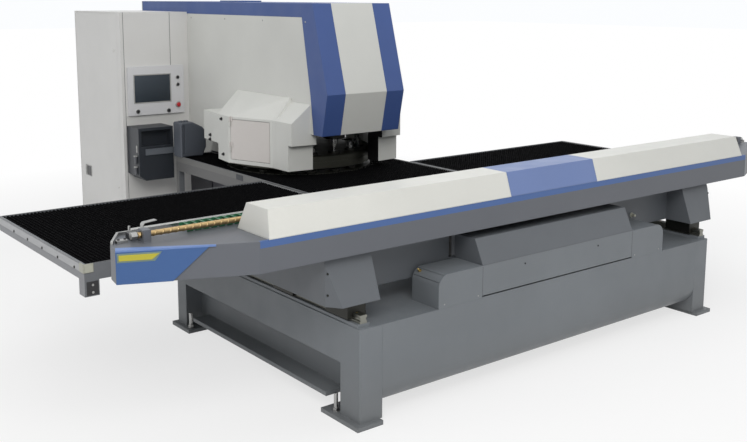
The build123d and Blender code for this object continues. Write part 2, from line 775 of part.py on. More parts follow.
def station_point(index):
    angle = radians(first + index * step)
    return (pitch_radius * cos(angle), turret_y + pitch_radius * sin(angle))


tool_stations = [i for i in range(stations) if i not in empty_stations]
upper_top = upper_bottom + upper_thickness
lower_top = pass_height - 2 - die_height
with BuildPart() as upper_turret:
    upright(0, turret_y, turret_radius, (upper_bottom, upper_top), side_count=disc_sides)
    chamfer(upper_turret.edges().group_by(Axis.Z)[-1], 12)
    upright(0, turret_y, hub_radius + slide_gap, (upper_bottom, upper_top), Mode.SUBTRACT)
    for index in range(stations):
        radius = empty_radius if index in empty_stations else station_radius
        upright(*station_point(index), radius, (upper_bottom, upper_top), Mode.SUBTRACT, tool_sides)
save(upper_turret, "upper_turret")

with BuildPart() as lower_turret:
    upright(0, turret_y, turret_radius, (lower_bottom, lower_top), side_count=disc_sides)
    upright(0, turret_y, hub_radius + slide_gap, (lower_bottom, lower_top), Mode.SUBTRACT)
    for index in range(stations):
        upright(*station_point(index), slug_radius, (lower_bottom, lower_top), Mode.SUBTRACT, bore_sides)
save(lower_turret, "lower_turret")

# Punches: guide in its bore, flange on the disc, and the head
flange_top = upper_top + guide_flange[1]
head_top_z = flange_top + spring_height + punch_head[1]
with BuildPart() as punches:
    for index in tool_stations:
        x, y = station_point(index)
        upright(x, y, station_radius - slide_gap, (upper_bottom + 20, upper_top), side_count=tool_sides)
        upright(x, y, guide_flange[0], (upper_top, flange_top), side_count=tool_sides)
        if index:
            upright(x, y, punch_head[0], (flange_top, head_top_z), side_count=tool_sides)
        else:
            upright(x, y, punch_shank + slide_gap, (upper_bottom, flange_top), Mode.SUBTRACT, bore_sides)
save(punches, "punches")

# The punch under the striker, free to slide
with BuildPart() as active_punch:
    upright(0, ram_y, punch_shank, (upper_bottom + 3, head_top_z - punch_head[1]), side_count=bore_sides)
    upright(0, ram_y, punch_head[0], (head_top_z - punch_head[1], head_top_z), side_count=tool_sides)
save(active_punch, "active_punch")

with BuildPart() as dies:
    for index in range(stations):
        upright(*station_point(index), die_radius, (lower_top, lower_top + die_height), side_count=tool_sides)
        upright(*station_point(index), die_bore, (lower_top, lower_top + die_height), Mode.SUBTRACT, bore_sides)
save(dies, "dies")

# Fixed shafts that carry the discs
with BuildPart() as turret_shafts:
    upright(0, turret_y, hub_radius, (upper_bottom, throat_top), side_count=pin_sides)
    upright(0, turret_y, hub_flange[0], (upper_top + slide_gap, upper_top + hub_flange[1]), side_count=pin_sides)
    upright(0, turret_y, hub_radius, (lower_arm_top, lower_top), side_count=pin_sides)
    upright(0, turret_y, hub_flange[0], (lower_arm_top, lower_bottom - slide_gap), side_count=pin_sides)
save(turret_shafts, "turret_shafts")

# Ram housing and striker
with BuildPart() as ram_housing:
    upright(0, ram_y, ram_housing_radius, (throat_top - ram_housing_drop, throat_top + ram_bore_height),
            side_count=pin_sides)
    upright(0, ram_y, ram_flange[0], (throat_top - ram_flange[1], throat_top), side_count=pin_sides)
    upright(0, ram_y, striker_radius + slide_gap, (throat_top - ram_housing_drop, throat_top + ram_bore_height - 30),
            Mode.SUBTRACT, pin_sides)
save(ram_housing, "ram_housing")

with BuildPart() as striker:
    upright(0, ram_y, striker_radius, (head_top_z + striker_gap, throat_top + ram_bore_height - 60), side_count=pin_sides)
save(striker, "striker")

# Turret side covers: bent sheet round the disc with a sloping roof
wall_plan = [(cover_side, -155), (532, -155), (532, -106), (681, 318), (651, 536), (610, 850),
             (cover_side, 850)]
ridge_x = cover_side + 12
roof_split = -106
front_eaves = [(cover_side, -155), (532, -155), (532, roof_split), (cover_side, roof_split)]
front_ridge = [(cover_side, -131), (ridge_x, -131), (ridge_x, roof_split), (cover_side, roof_split)]
main_eaves = [(cover_side, roof_split), (532, roof_split), (681, 318), (651, 536), (cover_side, 697)]
main_ridge = [(cover_side, roof_split), (ridge_x, roof_split), (ridge_x, 400), (ridge_x, 600), (cover_side, 697)]
hollow_share = 0.75
hood_section = [(320, cover_bottom), (531, cover_bottom), (531, cover_eaves), (cover_side, hood_ridge),
                (cover_side, head_bottom[1] - 1), (320, head_bottom[1] - 1)]
upper_front = [(320, -400), (531, -375)]
lower_front = [(320, -351), (531, -326)]
hood_back = -120
tail_bottom = 1060


def flipped(points, side):
    return [(side * x, y) for x, y in points]


def roof_block(eaves, ridge, side, inset):
    """The roof between its eaves and its ridge, or its hollow when an inset is given."""
    share = hollow_share if inset else 1
    section = [(x1 + share * (x2 - x1), y1 + share * (y2 - y1)) for (x1, y1), (x2, y2) in zip(eaves, ridge)]
    section_z = cover_eaves + share * (cover_ridge - cover_eaves) - inset
    low = [(side * x, y, cover_eaves - inset) for x, y in moved_sideways(eaves, inset, closed=True)]
    high = [(side * x, y, section_z) for x, y in moved_sideways(section, inset, closed=True)]
    ConvexPolyhedron(low + high, mode=Mode.SUBTRACT if inset else Mode.ADD)


def cover_form(side, inset):
    """The cover's outer form, or its hollow when an inset is given."""
    mode = Mode.SUBTRACT if inset else Mode.ADD
    floor = cover_bottom - (1 if inset else 0)
    with BuildSketch(Plane.XY.offset(floor)) as walls:
        Polygon(*flipped(wall_plan, side), align=None)
        if inset:
            offset(amount=-inset, kind=Kind.INTERSECTION)
    extrude(walls.sketch, amount=cover_eaves - inset - floor, mode=mode)
    overlap = 3 * inset
    rear = [(x, y + overlap if y == roof_split else y) for x, y in front_eaves]
    rear_ridge = [(x, y + overlap if y == roof_split else y) for x, y in front_ridge]
    roof_block(rear, rear_ridge, side, inset)
    roof_block(main_eaves, main_ridge, side, inset)


door_start = (532, -106)
door_end = (681, 318)
wall_length = hypot(door_end[0] - door_start[0], door_end[1] - door_start[1])
hinge_heights = (1020, 1225)
knuckle = 40
leaf = (25, 3)


def front_wedge(side, line, z):
    """Cuts everything in front of a line across the hood."""
    far = -600
    points = flipped([line[0], line[1], (line[1][0] + 5, line[1][1]), (line[1][0] + 5, far),
                      (line[0][0] - 5, far), (line[0][0] - 5, line[0][1])], side)
    plan_profile(points, z, Mode.SUBTRACT)


def hood_floor(inset):
    """The strip that opens the hood's hollow downward."""
    left, right = (hood_section[0][0] + inset, hood_section[1][0] - inset)
    return [(left, cover_bottom - inset), (right, cover_bottom - inset), (right, cover_bottom + 2 * inset + 1),
            (left, cover_bottom + 2 * inset + 1)]


def hood_form(side, inset):
    """The front hood of a turret cover, or its hollow when an inset is given."""
    back = hood_back + (2 * inset if inset else 0)
    with BuildPart(mode=Mode.PRIVATE) as form:
        with BuildSketch(Plane.XZ.offset(-back)) as section:
            Polygon(*flipped(moved_sideways(hood_section, inset, closed=True), side), align=None)
            Polygon(*flipped(hood_floor(inset), side), align=None)
        extrude(section.sketch, amount=300)
        for line, z in ((upper_front, (cover_bottom - 1, cover_ridge)), (lower_front, (cover_bottom - 1, step_z))):
            moved = [(x, y + inset) for x, y in line]
            front_wedge(side, moved, (z[0], z[1] + inset if z[1] == step_z else z[1]))
    return form.part


# Plane of the tool door's wall: X runs from the rear corner to the front one, Y is up
door_wall = Plane(origin=(-door_end[0], door_end[1], 0),
                  x_dir=((door_end[0] - door_start[0]), door_start[1] - door_end[1], 0),
                  z_dir=(door_start[1] - door_end[1], door_start[0] - door_end[0], 0))


def door_leaf(x_limits, heights):
    """Hinge leaves with their knuckles on the door wall."""
    for height in heights:
        with BuildSketch(door_wall) as leaf_outline:
            with Locations(((x_limits[0] + x_limits[1]) / 2, height + knuckle / 2)):
                Rectangle(x_limits[1] - x_limits[0], knuckle)
        extrude(leaf_outline.sketch, amount=leaf[1])
        axis_point = door_wall.from_local_coords((door_margin, height, hinge_radius))
        upright(axis_point.X, axis_point.Y, hinge_radius, (height, height + knuckle), side_count=tool_sides)


for name, side in sides.items():
    outer_hood = hood_form(side, 0)
    hood_hollow = hood_form(side, cover_wall)
    with BuildPart() as turret_cover:
        cover_form(side, 0)
        add(outer_hood)
        cover_form(side, cover_wall)
        add(hood_hollow, mode=Mode.SUBTRACT)
        tail = flipped([(652, 536), (652, 851), (cover_side, 851), (cover_side, 536)], side)
        plan_profile(tail, (cover_bottom - 1, tail_bottom), Mode.SUBTRACT)
        slab((side * 300, side * (cover_side + cover_wall + 1)), (-215, 851), (cover_bottom - 1, head_bottom[1] - 6),
             Mode.SUBTRACT)
        if side < 0:
            with BuildSketch(door_wall):
                with Locations((wall_length / 2, (door_bottom + door_top) / 2)):
                    Rectangle(wall_length - 2 * door_margin, door_top - door_bottom)
            extrude(amount=3 * cover_wall, both=True, mode=Mode.SUBTRACT)
            door_leaf((door_margin - leaf[0], door_margin), hinge_heights)
    save(turret_cover, f"turret_cover_{name}")

with BuildPart() as tool_door:
    with BuildSketch(door_wall):
        with Locations((wall_length / 2, (door_bottom + door_top) / 2)):
            Rectangle(wall_length - 2 * door_margin - 2 * door_gap, door_top - door_bottom - 2 * door_gap)
    extrude(amount=-cover_wall)
    door_leaf((door_margin, door_margin + leaf[0]), [z + knuckle + slide_gap for z in hinge_heights])
save(tool_door, "tool_door")

# Turret drive cover on the rear corner of the table
drive_section = [(-728, table_top), (-728, 1165), (-716, 1175), (-610, 1175), (-520, 1128), (-486, 1085),
                 (-486, 950), (-520, table_top)]
with BuildPart() as turret_drive_cover:
    with BuildSketch(Plane.XZ.offset(-drive_cover_y[1])):
        Polygon(*drive_section, align=None)
    extrude(amount=drive_cover_y[1] - drive_cover_y[0])
    front_edges = turret_drive_cover.faces().sort_by(Axis.Y)[0].edges()
    chamfer(front_edges, 8)
    for bump_x in (-700, -650):
        upright(bump_x, 1110, 20, (1160, drive_cover_top), side_count=pin_sides)
    slab((-712, -690), (drive_cover_y[0], drive_cover_y[0] + 14), (table_top + 20, 1150), Mode.SUBTRACT)
save(turret_drive_cover, "turret_drive_cover")

# Control cabinet: a case on a plinth, open on its left side behind the door
case_x = (cabinet_x[0] + door_thickness, cabinet_x[1])
with BuildPart() as control_cabinet:
    slab(case_x, cabinet_y, (plinth, cabinet_top))
    slab((cabinet_x[0], case_x[0]), (cabinet_y[0], side_door_y[0] - door_gap), (plinth, cabinet_top))
    slab((cabinet_x[0], case_x[0]), (side_door_y[1] + 2 * door_gap, cabinet_y[1]), (plinth, cabinet_top))
    slab((case_x[0] + 15, case_x[1]), (cabinet_y[0] + 15, cabinet_y[1] - 15), (0, plinth))
    slab((case_x[0] + cabinet_wall, case_x[1] - cabinet_wall), (cabinet_y[0] + cabinet_wall, cabinet_y[1] - cabinet_wall),
         (plinth + cabinet_wall, cabinet_top - cabinet_wall), Mode.SUBTRACT)
    slab((case_x[0] - 1, case_x[0] + cabinet_wall + 1), (side_door_y[0] + 40, side_door_y[1] - 40),
         (side_door_z[0] + 60, side_door_z[1] - 45), Mode.SUBTRACT)
    for groove_x, groove_low in ((-985, plinth), (-543, panel_z[1])):
        slab((groove_x - 2, groove_x + 2), (cabinet_y[0], cabinet_y[0] + 3), (groove_low, cabinet_top), Mode.SUBTRACT)
save(control_cabinet, "control_cabinet")

# Side door of the cabinet with its two quarter-turn locks
with BuildPart() as cabinet_door:
    slab((cabinet_x[0], case_x[0] - slide_gap), side_door_y, side_door_z)
    chamfer(cabinet_door.edges().filter_by(Axis.Z).group_by(Axis.X)[0].sort_by(Axis.Y)[0], 4)
    for lock_z in (546, 1774):
        along_x(side_door_y[0] + 70, lock_z, 14, (cabinet_x[0] - 6, cabinet_x[0]), side_count=pin_sides)
save(cabinet_door, "cabinet_door")

# Mounting plate inside the cabinet, with drives, breakers and wiring ducts
plate_face = cabinet_x[1] - cabinet_wall - 10
with BuildPart() as electrical_plate:
    slab((plate_face, cabinet_x[1] - cabinet_wall), (1680, 2540), (250, 1960))
    for unit in range(4):
        unit_y = 1730 + unit * 150
        slab((plate_face - 190, plate_face), (unit_y, unit_y + 120), (1480, 1860))
    for unit in range(4):
        unit_y = 1730 + unit * 130
        slab((plate_face - 90, plate_face), (unit_y, unit_y + 80), (1180, 1300))
    slab((plate_face - 150, plate_face), (1760, 2100), (460, 760))
    slab((plate_face - 120, plate_face), (2200, 2440), (460, 860))
    for duct_z in (380, 960, 1360):
        slab((plate_face - 60, plate_face), (1700, 2520), (duct_z, duct_z + 50))
save(electrical_plate, "electrical_plate")

# Operator panel with its screen pocket and the bores of the buttons
panel_face = cabinet_y[0] - panel_depth
control_places = [(button_x, estop_z)]
control_places += [(button_x, z) for z in push_button_z.values()]
control_places += list(knob_places.values())
with BuildPart() as operator_panel:
    slab(panel_x, (panel_face, cabinet_y[0]), panel_z)
    chamfer(operator_panel.edges().filter_by(Axis.Y), 6)
    slab(screen_x, (panel_face, panel_face + screen_thickness + 3), screen_z, Mode.SUBTRACT)
    for x, z in control_places:
        along_y(x, z, clear_radius(stem_radius + slide_gap, tool_sides), (panel_face, cabinet_y[0]), Mode.SUBTRACT,
                tool_sides)
save(operator_panel, "operator_panel")

with BuildPart() as operator_screen:
    slab(screen_x, (panel_face + 3, panel_face + 3 + screen_thickness), screen_z)
save(operator_screen, "operator_screen")

# Emergency stop: a mushroom head on its stem
with BuildPart() as estop_button:
    along_y(button_x, estop_z, estop_radius, (panel_face - estop_gap - 14, panel_face - estop_gap), side_count=pin_sides)
    chamfer(estop_button.edges().group_by(Axis.Y)[0], 5)
    along_y(button_x, estop_z, stem_radius, (panel_face - estop_gap, panel_face + stem_length - 4), side_count=tool_sides)
save(estop_button, "estop_button")

for label, z in push_button_z.items():
    with BuildPart() as push_button:
        along_y(button_x, z, 14, (panel_face - 14, panel_face - 5), side_count=pin_sides)
        along_y(button_x, z, stem_radius, (panel_face - 5, panel_face + stem_length - 4), side_count=tool_sides)
    save(push_button, label)

for label, (x, z) in knob_places.items():
    with BuildPart() as knob:
        along_y(x, z, 16, (panel_face - 18, panel_face - slide_gap), side_count=pin_sides)
        along_y(x, z, stem_radius, (panel_face - slide_gap, panel_face + stem_length), side_count=tool_sides)
        slab((x - 3, x + 3), (panel_face - 24, panel_face - 18), (z - 14, z + 14))
    save(knob, label)

# Air unit box under the operator panel
with BuildPart() as air_unit_box:
    with BuildSketch(Plane.XZ.offset(-cabinet_y[0])):
        Polygon((air_box_x[0], air_box_z[0] + 45), (air_box_x[0], air_box_z[1]), (air_box_x[1], air_box_z[1]),
                (air_box_x[1], air_box_z[0]), (air_box_x[0] + 60, air_box_z[0]), align=None)
    extrude(amount=cabinet_y[0] - air_box_y)
    slab((air_box_x[0] + 25, air_box_x[1] - 20), (air_box_y, air_box_y + 90), (air_bar_z[1] + 20, air_box_z[1] - 25),
         Mode.SUBTRACT)
    slab((air_box_x[0] + 60, air_box_x[1]), (air_box_y - 12, air_box_y), air_bar_z)
save(air_unit_box, "air_unit_box")
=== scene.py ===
# CNC turret punch press: paint, brush tables, turret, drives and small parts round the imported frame
import json
from math import cos, pi, radians, sin

import bmesh
import bpy
from mathutils import Matrix, Vector
from mathutils.bvhtree import BVHTree


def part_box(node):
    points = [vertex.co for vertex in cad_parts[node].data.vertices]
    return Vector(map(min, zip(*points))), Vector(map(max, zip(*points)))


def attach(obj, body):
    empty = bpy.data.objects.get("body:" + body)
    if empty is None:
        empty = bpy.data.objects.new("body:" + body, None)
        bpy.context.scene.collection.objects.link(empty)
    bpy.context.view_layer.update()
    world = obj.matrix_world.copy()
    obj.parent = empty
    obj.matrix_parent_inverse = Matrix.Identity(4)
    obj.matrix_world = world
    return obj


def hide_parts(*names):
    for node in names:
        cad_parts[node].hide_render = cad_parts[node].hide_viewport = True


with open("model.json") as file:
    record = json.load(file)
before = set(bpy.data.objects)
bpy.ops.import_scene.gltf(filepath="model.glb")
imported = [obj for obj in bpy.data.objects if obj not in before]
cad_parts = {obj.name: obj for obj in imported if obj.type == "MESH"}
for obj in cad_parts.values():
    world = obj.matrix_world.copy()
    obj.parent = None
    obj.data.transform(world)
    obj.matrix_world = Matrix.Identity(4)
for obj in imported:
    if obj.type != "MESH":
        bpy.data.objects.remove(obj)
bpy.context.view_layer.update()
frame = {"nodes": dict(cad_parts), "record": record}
nodes = frame["nodes"]
print("frame loaded:", len(nodes), "nodes")


# Small helpers for meshes
sharpAngle = radians(32)
seamDistance = 0.00001
sunk = -0.002  # how far a head starts inside the plate it sits on


def newObject(name, content):
    piece = bpy.data.objects.new(name, content)
    bpy.context.scene.collection.objects.link(piece)
    return piece


def keepSharp(work):
    # Smooth faces, but sharp where they meet at more than the angle
    for face in work.faces:
        face.smooth = True
    for edge in work.edges:
        if len(edge.link_faces) == 2 and edge.calc_face_angle(0) > sharpAngle:
            edge.smooth = False


def meshFrom(name, work, coats=(), merge=False):
    # Turns a bmesh into an object with its coats, its seams merged where asked
    if merge:
        bmesh.ops.remove_doubles(work, verts=work.verts, dist=seamDistance)
    bmesh.ops.recalc_face_normals(work, faces=work.faces)
    keepSharp(work)
    mesh = bpy.data.meshes.new(name)
    work.to_mesh(mesh)
    work.free()
    for coat in coats:
        mesh.materials.append(materials[coat])
    return newObject(name, mesh)


def settle(piece, body, slot, *replaced):
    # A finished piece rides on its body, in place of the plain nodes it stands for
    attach(piece, body)
    if replaced:
        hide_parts(*replaced)


def middle(node):
    low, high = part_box(node)
    return (low + high) / 2


def evaluatedMesh(piece):
    return bpy.data.meshes.new_from_object(piece.evaluated_get(bpy.context.evaluated_depsgraph_get()))


def addBlock(work, low, high, slot=0, rounding=0.0):
    # A block between two corners, with its edges rounded a little
    centre = [(a + b) / 2 for a, b in zip(low, high)]
    size = [abs(b - a) for a, b in zip(low, high)]
    place = Matrix.Translation(centre) @ Matrix.Diagonal((*size, 1))
    corners = bmesh.ops.create_cube(work, size=1, matrix=place)["verts"]
    for face in {face for corner in corners for face in corner.link_faces}:
        face.material_index = slot
    if rounding:
        edges = list({edge for corner in corners for edge in corner.link_edges})
        bmesh.ops.bevel(work, geom=edges, offset=rounding, segments=2, affect="EDGES", material=-1)


def rod(low, high, radius):
    # The profile of a plain round bar
    return [(low, 0), (low, radius), (high, radius), (high, 0)]


def addTurned(work, profile, origin, axis=(0, 0, 1), steps=32, slot=0):
    # A turned shape from (distance along the axis, radius) points, closed where the radius is zero
    turn = Vector(axis).to_track_quat("Z", "Y").to_matrix()
    origin = Vector(origin)
    rings = []
    for along, radius in profile:
        angles = [2 * pi * step / steps for step in range(steps)] if radius else [0]
        ring = [Vector((radius * cos(angle), radius * sin(angle), along)) for angle in angles]
        rings.append([work.verts.new(origin + turn @ point) for point in ring])
    for first, second in zip(rings, rings[1:]):
        for step in range(steps):
            around = (first[step % len(first)], first[(step + 1) % len(first)],
                      second[(step + 1) % len(second)], second[step % len(second)])
            corners = list(dict.fromkeys(around))  # a pole counts once
            if len(corners) > 2:
                work.faces.new(corners).material_index = slot


def addSides(work, first, second, slot=0):
    # A belt of faces between two rings of as many corners
    for index in range(len(first)):
        after = (index + 1) % len(first)
        work.faces.new((first[index], second[index], second[after], first[after])).material_index = slot


def addLoft(work, front, back, slot=0):
    # A closed solid between two outlines of as many points
    first = [work.verts.new(point) for point in front]
    second = [work.verts.new(point) for point in back]
    work.faces.new(first).material_index = slot
    work.faces.new(second[::-1]).material_index = slot
    addSides(work, first, second, slot)


def addPlate(work, outline, low, high, slot=0):
    # An outline seen from above, drawn out between two heights
    addLoft(work, [(x, y, low) for x, y in outline], [(x, y, high) for x, y in outline], slot)


# Small helpers for materials
def startMaterial(name, colour, roughness, metallic=0.0):
    material = bpy.data.materials.new(name)
    material.use_nodes = True
    tree = material.node_tree
    shader = tree.nodes["Principled BSDF"]
    shader.inputs["Base Color"].default_value = (*colour, 1)
    shader.inputs["Roughness"].default_value = roughness
    shader.inputs["Metallic"].default_value = metallic
    return material, tree, shader


def coordinates(tree, scale=(1, 1, 1), shift=(0, 0, 0)):
    where = tree.nodes.new("ShaderNodeTexCoord")
    mapping = tree.nodes.new("ShaderNodeMapping")
    mapping.inputs["Scale"].default_value = scale
    mapping.inputs["Location"].default_value = shift
    tree.links.new(where.outputs["Object"], mapping.inputs["Vector"])
    return mapping.outputs["Vector"]


def separate(tree, vector):
    split = tree.nodes.new("ShaderNodeSeparateXYZ")
    tree.links.new(vector, split.inputs["Vector"])
    return split.outputs


def noise(tree, vector, scale, detail=3.0, roughness=0.5):
    texture = tree.nodes.new("ShaderNodeTexNoise")
    texture.inputs["Scale"].default_value = scale
    texture.inputs["Detail"].default_value = detail
    texture.inputs["Roughness"].default_value = roughness
    tree.links.new(vector, texture.inputs["Vector"])
    return texture.outputs["Fac"]


def ramp(tree, value, low, high, first, last):
    # Spreads a value between two colours
    colours = tree.nodes.new("ShaderNodeValToRGB")
    for stop, position, colour in zip(colours.color_ramp.elements, (low, high), (first, last)):
        stop.position = position
        stop.color = (*colour, 1)
    tree.links.new(value, colours.inputs["Fac"])
    return colours.outputs["Color"]


def scaled(colour, share):
    return tuple(channel * share for channel in colour)


def tinted(tree, value, colour, darkest, lightest, low=0.3, high=0.7):
    # One colour, from a darker to a lighter share of itself
    return ramp(tree, value, low, high, scaled(colour, darkest), scaled(colour, lightest))


def remap(tree, value, low, high, first, last):
    spread = tree.nodes.new("ShaderNodeMapRange")
    limits = {"From Min": low, "From Max": high, "To Min": first, "To Max": last}
    for socket, limit in limits.items():
        spread.inputs[socket].default_value = limit
    tree.links.new(value, spread.inputs["Value"])
    return spread.outputs["Result"]


def feed(tree, socket, value):
    # Links a socket to another node, or sets it to a plain number or colour
    if isinstance(value, bpy.types.NodeSocket):
        tree.links.new(value, socket)
    elif isinstance(value, tuple):
        socket.default_value = (*value, 1)
    else:
        socket.default_value = value


def blendColours(tree, factor, first, second):
    mix = tree.nodes.new("ShaderNodeMix")
    mix.data_type = "RGBA"
    for index, value in ((0, factor), (6, first), (7, second)):  # the factor's socket and the two colours'
        feed(tree, mix.inputs[index], value)
    return mix.outputs[2]


def calculate(tree, how, *values):
    node = tree.nodes.new("ShaderNodeMath")
    node.operation = how
    for socket, value in zip(node.inputs, values):
        feed(tree, socket, value)
    return node.outputs[0]


def allOf(tree, *tests):
    # One where every test is one
    product = tests[0]
    for test in tests[1:]:
        product = calculate(tree, "MULTIPLY", product, test)
    return product


def addBump(tree, shader, height, strength, depth, edge=0.0):
    # Fine relief over edges that are rounded by a few millimetres
    bump = tree.nodes.new("ShaderNodeBump")
    bump.inputs["Strength"].default_value = strength
    bump.inputs["Distance"].default_value = depth
    tree.links.new(height, bump.inputs["Height"])
    if edge:
        bevel = tree.nodes.new("ShaderNodeBevel")
        bevel.samples = 4
        bevel.inputs["Radius"].default_value = edge
        tree.links.new(bevel.outputs["Normal"], bump.inputs["Normal"])
    tree.links.new(bump.outputs["Normal"], shader.inputs["Normal"])


# Sizes of the finishes' patterns, per metre, and the depth of their relief in metres
patternScale = {"cloud": 1.3, "speckle": 60.0, "gloss": 7.0, "streak": 18.0, "wear": 9.0, "film": 6.0,
                "moulding": 40.0, "band": 1.4, "orangePeel": 420.0, "drawn": 12.0, "end": 5.0, "tips": 260.0,
                "oilPatch": 2.2, "filaments": 400.0, "screenGrain": 1500.0, "floor": 0.8}
reliefDepth = {"paint": 0.0006, "metal": 0.0003, "turned": 0.0002, "plastic": 0.0003, "bristle": 0.001,
               "screen": 0.0001}


def paint(name, colour, roughness=0.42, grain=patternScale["orangePeel"], relief=0.12, cloud=0.05,
          edge=0.004, low=None):
    # Sprayed paint or powder coat: orange peel, slow changes of tint, dust towards the floor
    material, tree, shader = startMaterial(name, colour, roughness)
    vector = coordinates(tree)
    slow = noise(tree, vector, patternScale["cloud"], 4.0, 0.55)
    tint = tinted(tree, slow, colour, 1 - cloud, 1 + cloud * 0.5)
    fine = noise(tree, vector, patternScale["speckle"], 5.0, 0.6)
    tint = blendColours(tree, remap(tree, fine, 0.45, 0.8, 0.0, 0.25), tint, scaled(colour, 0.93))
    if low:
        floorZ, cleanZ, share, dirt = low
        height = separate(tree, coordinates(tree))["Z"]
        tint = blendColours(tree, remap(tree, height, floorZ, cleanZ, share, 0.0), tint, dirt)
    tree.links.new(tint, shader.inputs["Base Color"])
    gloss = noise(tree, vector, patternScale["gloss"])
    gloss = remap(tree, gloss, 0.3, 0.7, roughness - 0.05, roughness + 0.07)
    tree.links.new(gloss, shader.inputs["Roughness"])
    addBump(tree, shader, noise(tree, vector, grain, 2.0), relief, reliefDepth["paint"], edge)
    return material


def brushedMetal(name, colour, roughness, direction=(1, 40, 40), relief=0.15, cloud=0.15, edge=0.0015):
    # Drawn or ground metal: streaks along one direction, darker where handled
    material, tree, shader = startMaterial(name, colour, roughness, 1.0)
    streak = noise(tree, coordinates(tree, direction), patternScale["streak"], 4.0, 0.6)
    worn = noise(tree, coordinates(tree), patternScale["wear"], 4.0)
    tint = tinted(tree, streak, colour, 1 - cloud, 1 + cloud * 0.4, 0.25, 0.75)
    tint = blendColours(tree, remap(tree, worn, 0.5, 0.8, 0.0, 0.5), tint, scaled(colour, 0.6))
    tree.links.new(tint, shader.inputs["Base Color"])
    gloss = remap(tree, streak, 0.2, 0.8, roughness - 0.08, roughness + 0.1)
    tree.links.new(gloss, shader.inputs["Roughness"])
    addBump(tree, shader, streak, relief, reliefDepth["metal"], edge)
    return material


def turnedMetal(name, colour, roughness, centre, rings=900.0, edge=0.0015):
    # Turned faces: fine rings round a vertical axis, with an oily film
    material, tree, shader = startMaterial(name, colour, roughness, 1.0)
    place = separate(tree, coordinates(tree, shift=(-centre[0], -centre[1], 0)))
    squares = [calculate(tree, "MULTIPLY", place[axis], place[axis]) for axis in ("X", "Y")]
    radius = calculate(tree, "SQRT", calculate(tree, "ADD", *squares))
    groove = calculate(tree, "SINE", calculate(tree, "MULTIPLY", radius, rings))
    film = noise(tree, coordinates(tree), patternScale["film"], 5.0, 0.6)
    tree.links.new(tinted(tree, film, colour, 0.7, 1.08), shader.inputs["Base Color"])
    gloss = remap(tree, film, 0.3, 0.7, roughness + 0.12, roughness - 0.04)
    tree.links.new(gloss, shader.inputs["Roughness"])
    addBump(tree, shader, groove, 0.08, reliefDepth["turned"], edge)
    return material


def mouldedPlastic(name, colour, roughness, grain=900.0, edge=0.001):
    material, tree, shader = startMaterial(name, colour, roughness)
    vector = coordinates(tree)
    tint = tinted(tree, noise(tree, vector, patternScale["moulding"]), colour, 0.85, 1.1)
    tree.links.new(tint, shader.inputs["Base Color"])
    addBump(tree, shader, noise(tree, vector, grain, 2.0), 0.1, reliefDepth["plastic"], edge)
    return material


def bristleMaterial(name, colour, speck):
    # Nylon filaments: nearly black, tips greyed by oil and dust in patches
    material, tree, shader = startMaterial(name, colour, 0.9)
    vector = coordinates(tree)
    tips = ramp(tree, noise(tree, vector, patternScale["tips"], 2.0), 0.62, 0.8, colour, speck)
    patch = remap(tree, noise(tree, vector, patternScale["oilPatch"], 4.0), 0.45, 0.7, 0.0, 1.0)
    tree.links.new(blendColours(tree, patch, colour, tips), shader.inputs["Base Color"])
    shader.inputs["Specular IOR Level"].default_value = 0.06
    addBump(tree, shader, noise(tree, vector, patternScale["filaments"], 2.0), 0.4, reliefDepth["bristle"])
    return material


def screenMaterial(name, dark, light, x, z):
    # A dark display with a soft reflection from one corner and a faint dot grid
    material, tree, shader = startMaterial(name, dark, 0.25)
    place = separate(tree, coordinates(tree))
    fade = calculate(tree, "ADD", remap(tree, place["Z"], *z, 0.0, 0.6),
                     remap(tree, place["X"], *x, 0.4, 0.0))
    tree.links.new(ramp(tree, fade, 0.1, 1.0, dark, light), shader.inputs["Base Color"])
    shader.inputs["Coat Weight"].default_value = 0.15
    shader.inputs["Coat Roughness"].default_value = 0.1
    grain = noise(tree, coordinates(tree), patternScale["screenGrain"], 1.0)
    addBump(tree, shader, grain, 0.03, reliefDepth["screen"])
    return material


def bandPaint(name, colour, band, x, z, y):
    # Paint with a band of another colour: the beam's blue edge, the air box's lighter rail, and painted
    # shade low on the side panels and by the throat on the turret covers
    material, tree, shader = startMaterial(name, colour, 0.44)
    vector = coordinates(tree)
    cloud = tinted(tree, noise(tree, vector, patternScale["band"], 4.0), colour, 0.94, 1.04)
    place = separate(tree, coordinates(tree))
    inside = allOf(tree, calculate(tree, "LESS_THAN", calculate(tree, "ABSOLUTE", place["X"]), x),
                   calculate(tree, "GREATER_THAN", place["Z"], z[0]),
                   calculate(tree, "LESS_THAN", place["Z"], z[1]),
                   calculate(tree, "LESS_THAN", place["Y"], y))
    tree.links.new(blendColours(tree, inside, cloud, band), shader.inputs["Base Color"])
    peel = noise(tree, vector, patternScale["orangePeel"], 2.0)
    addBump(tree, shader, peel, 0.12, reliefDepth["paint"], 0.005)
    return material


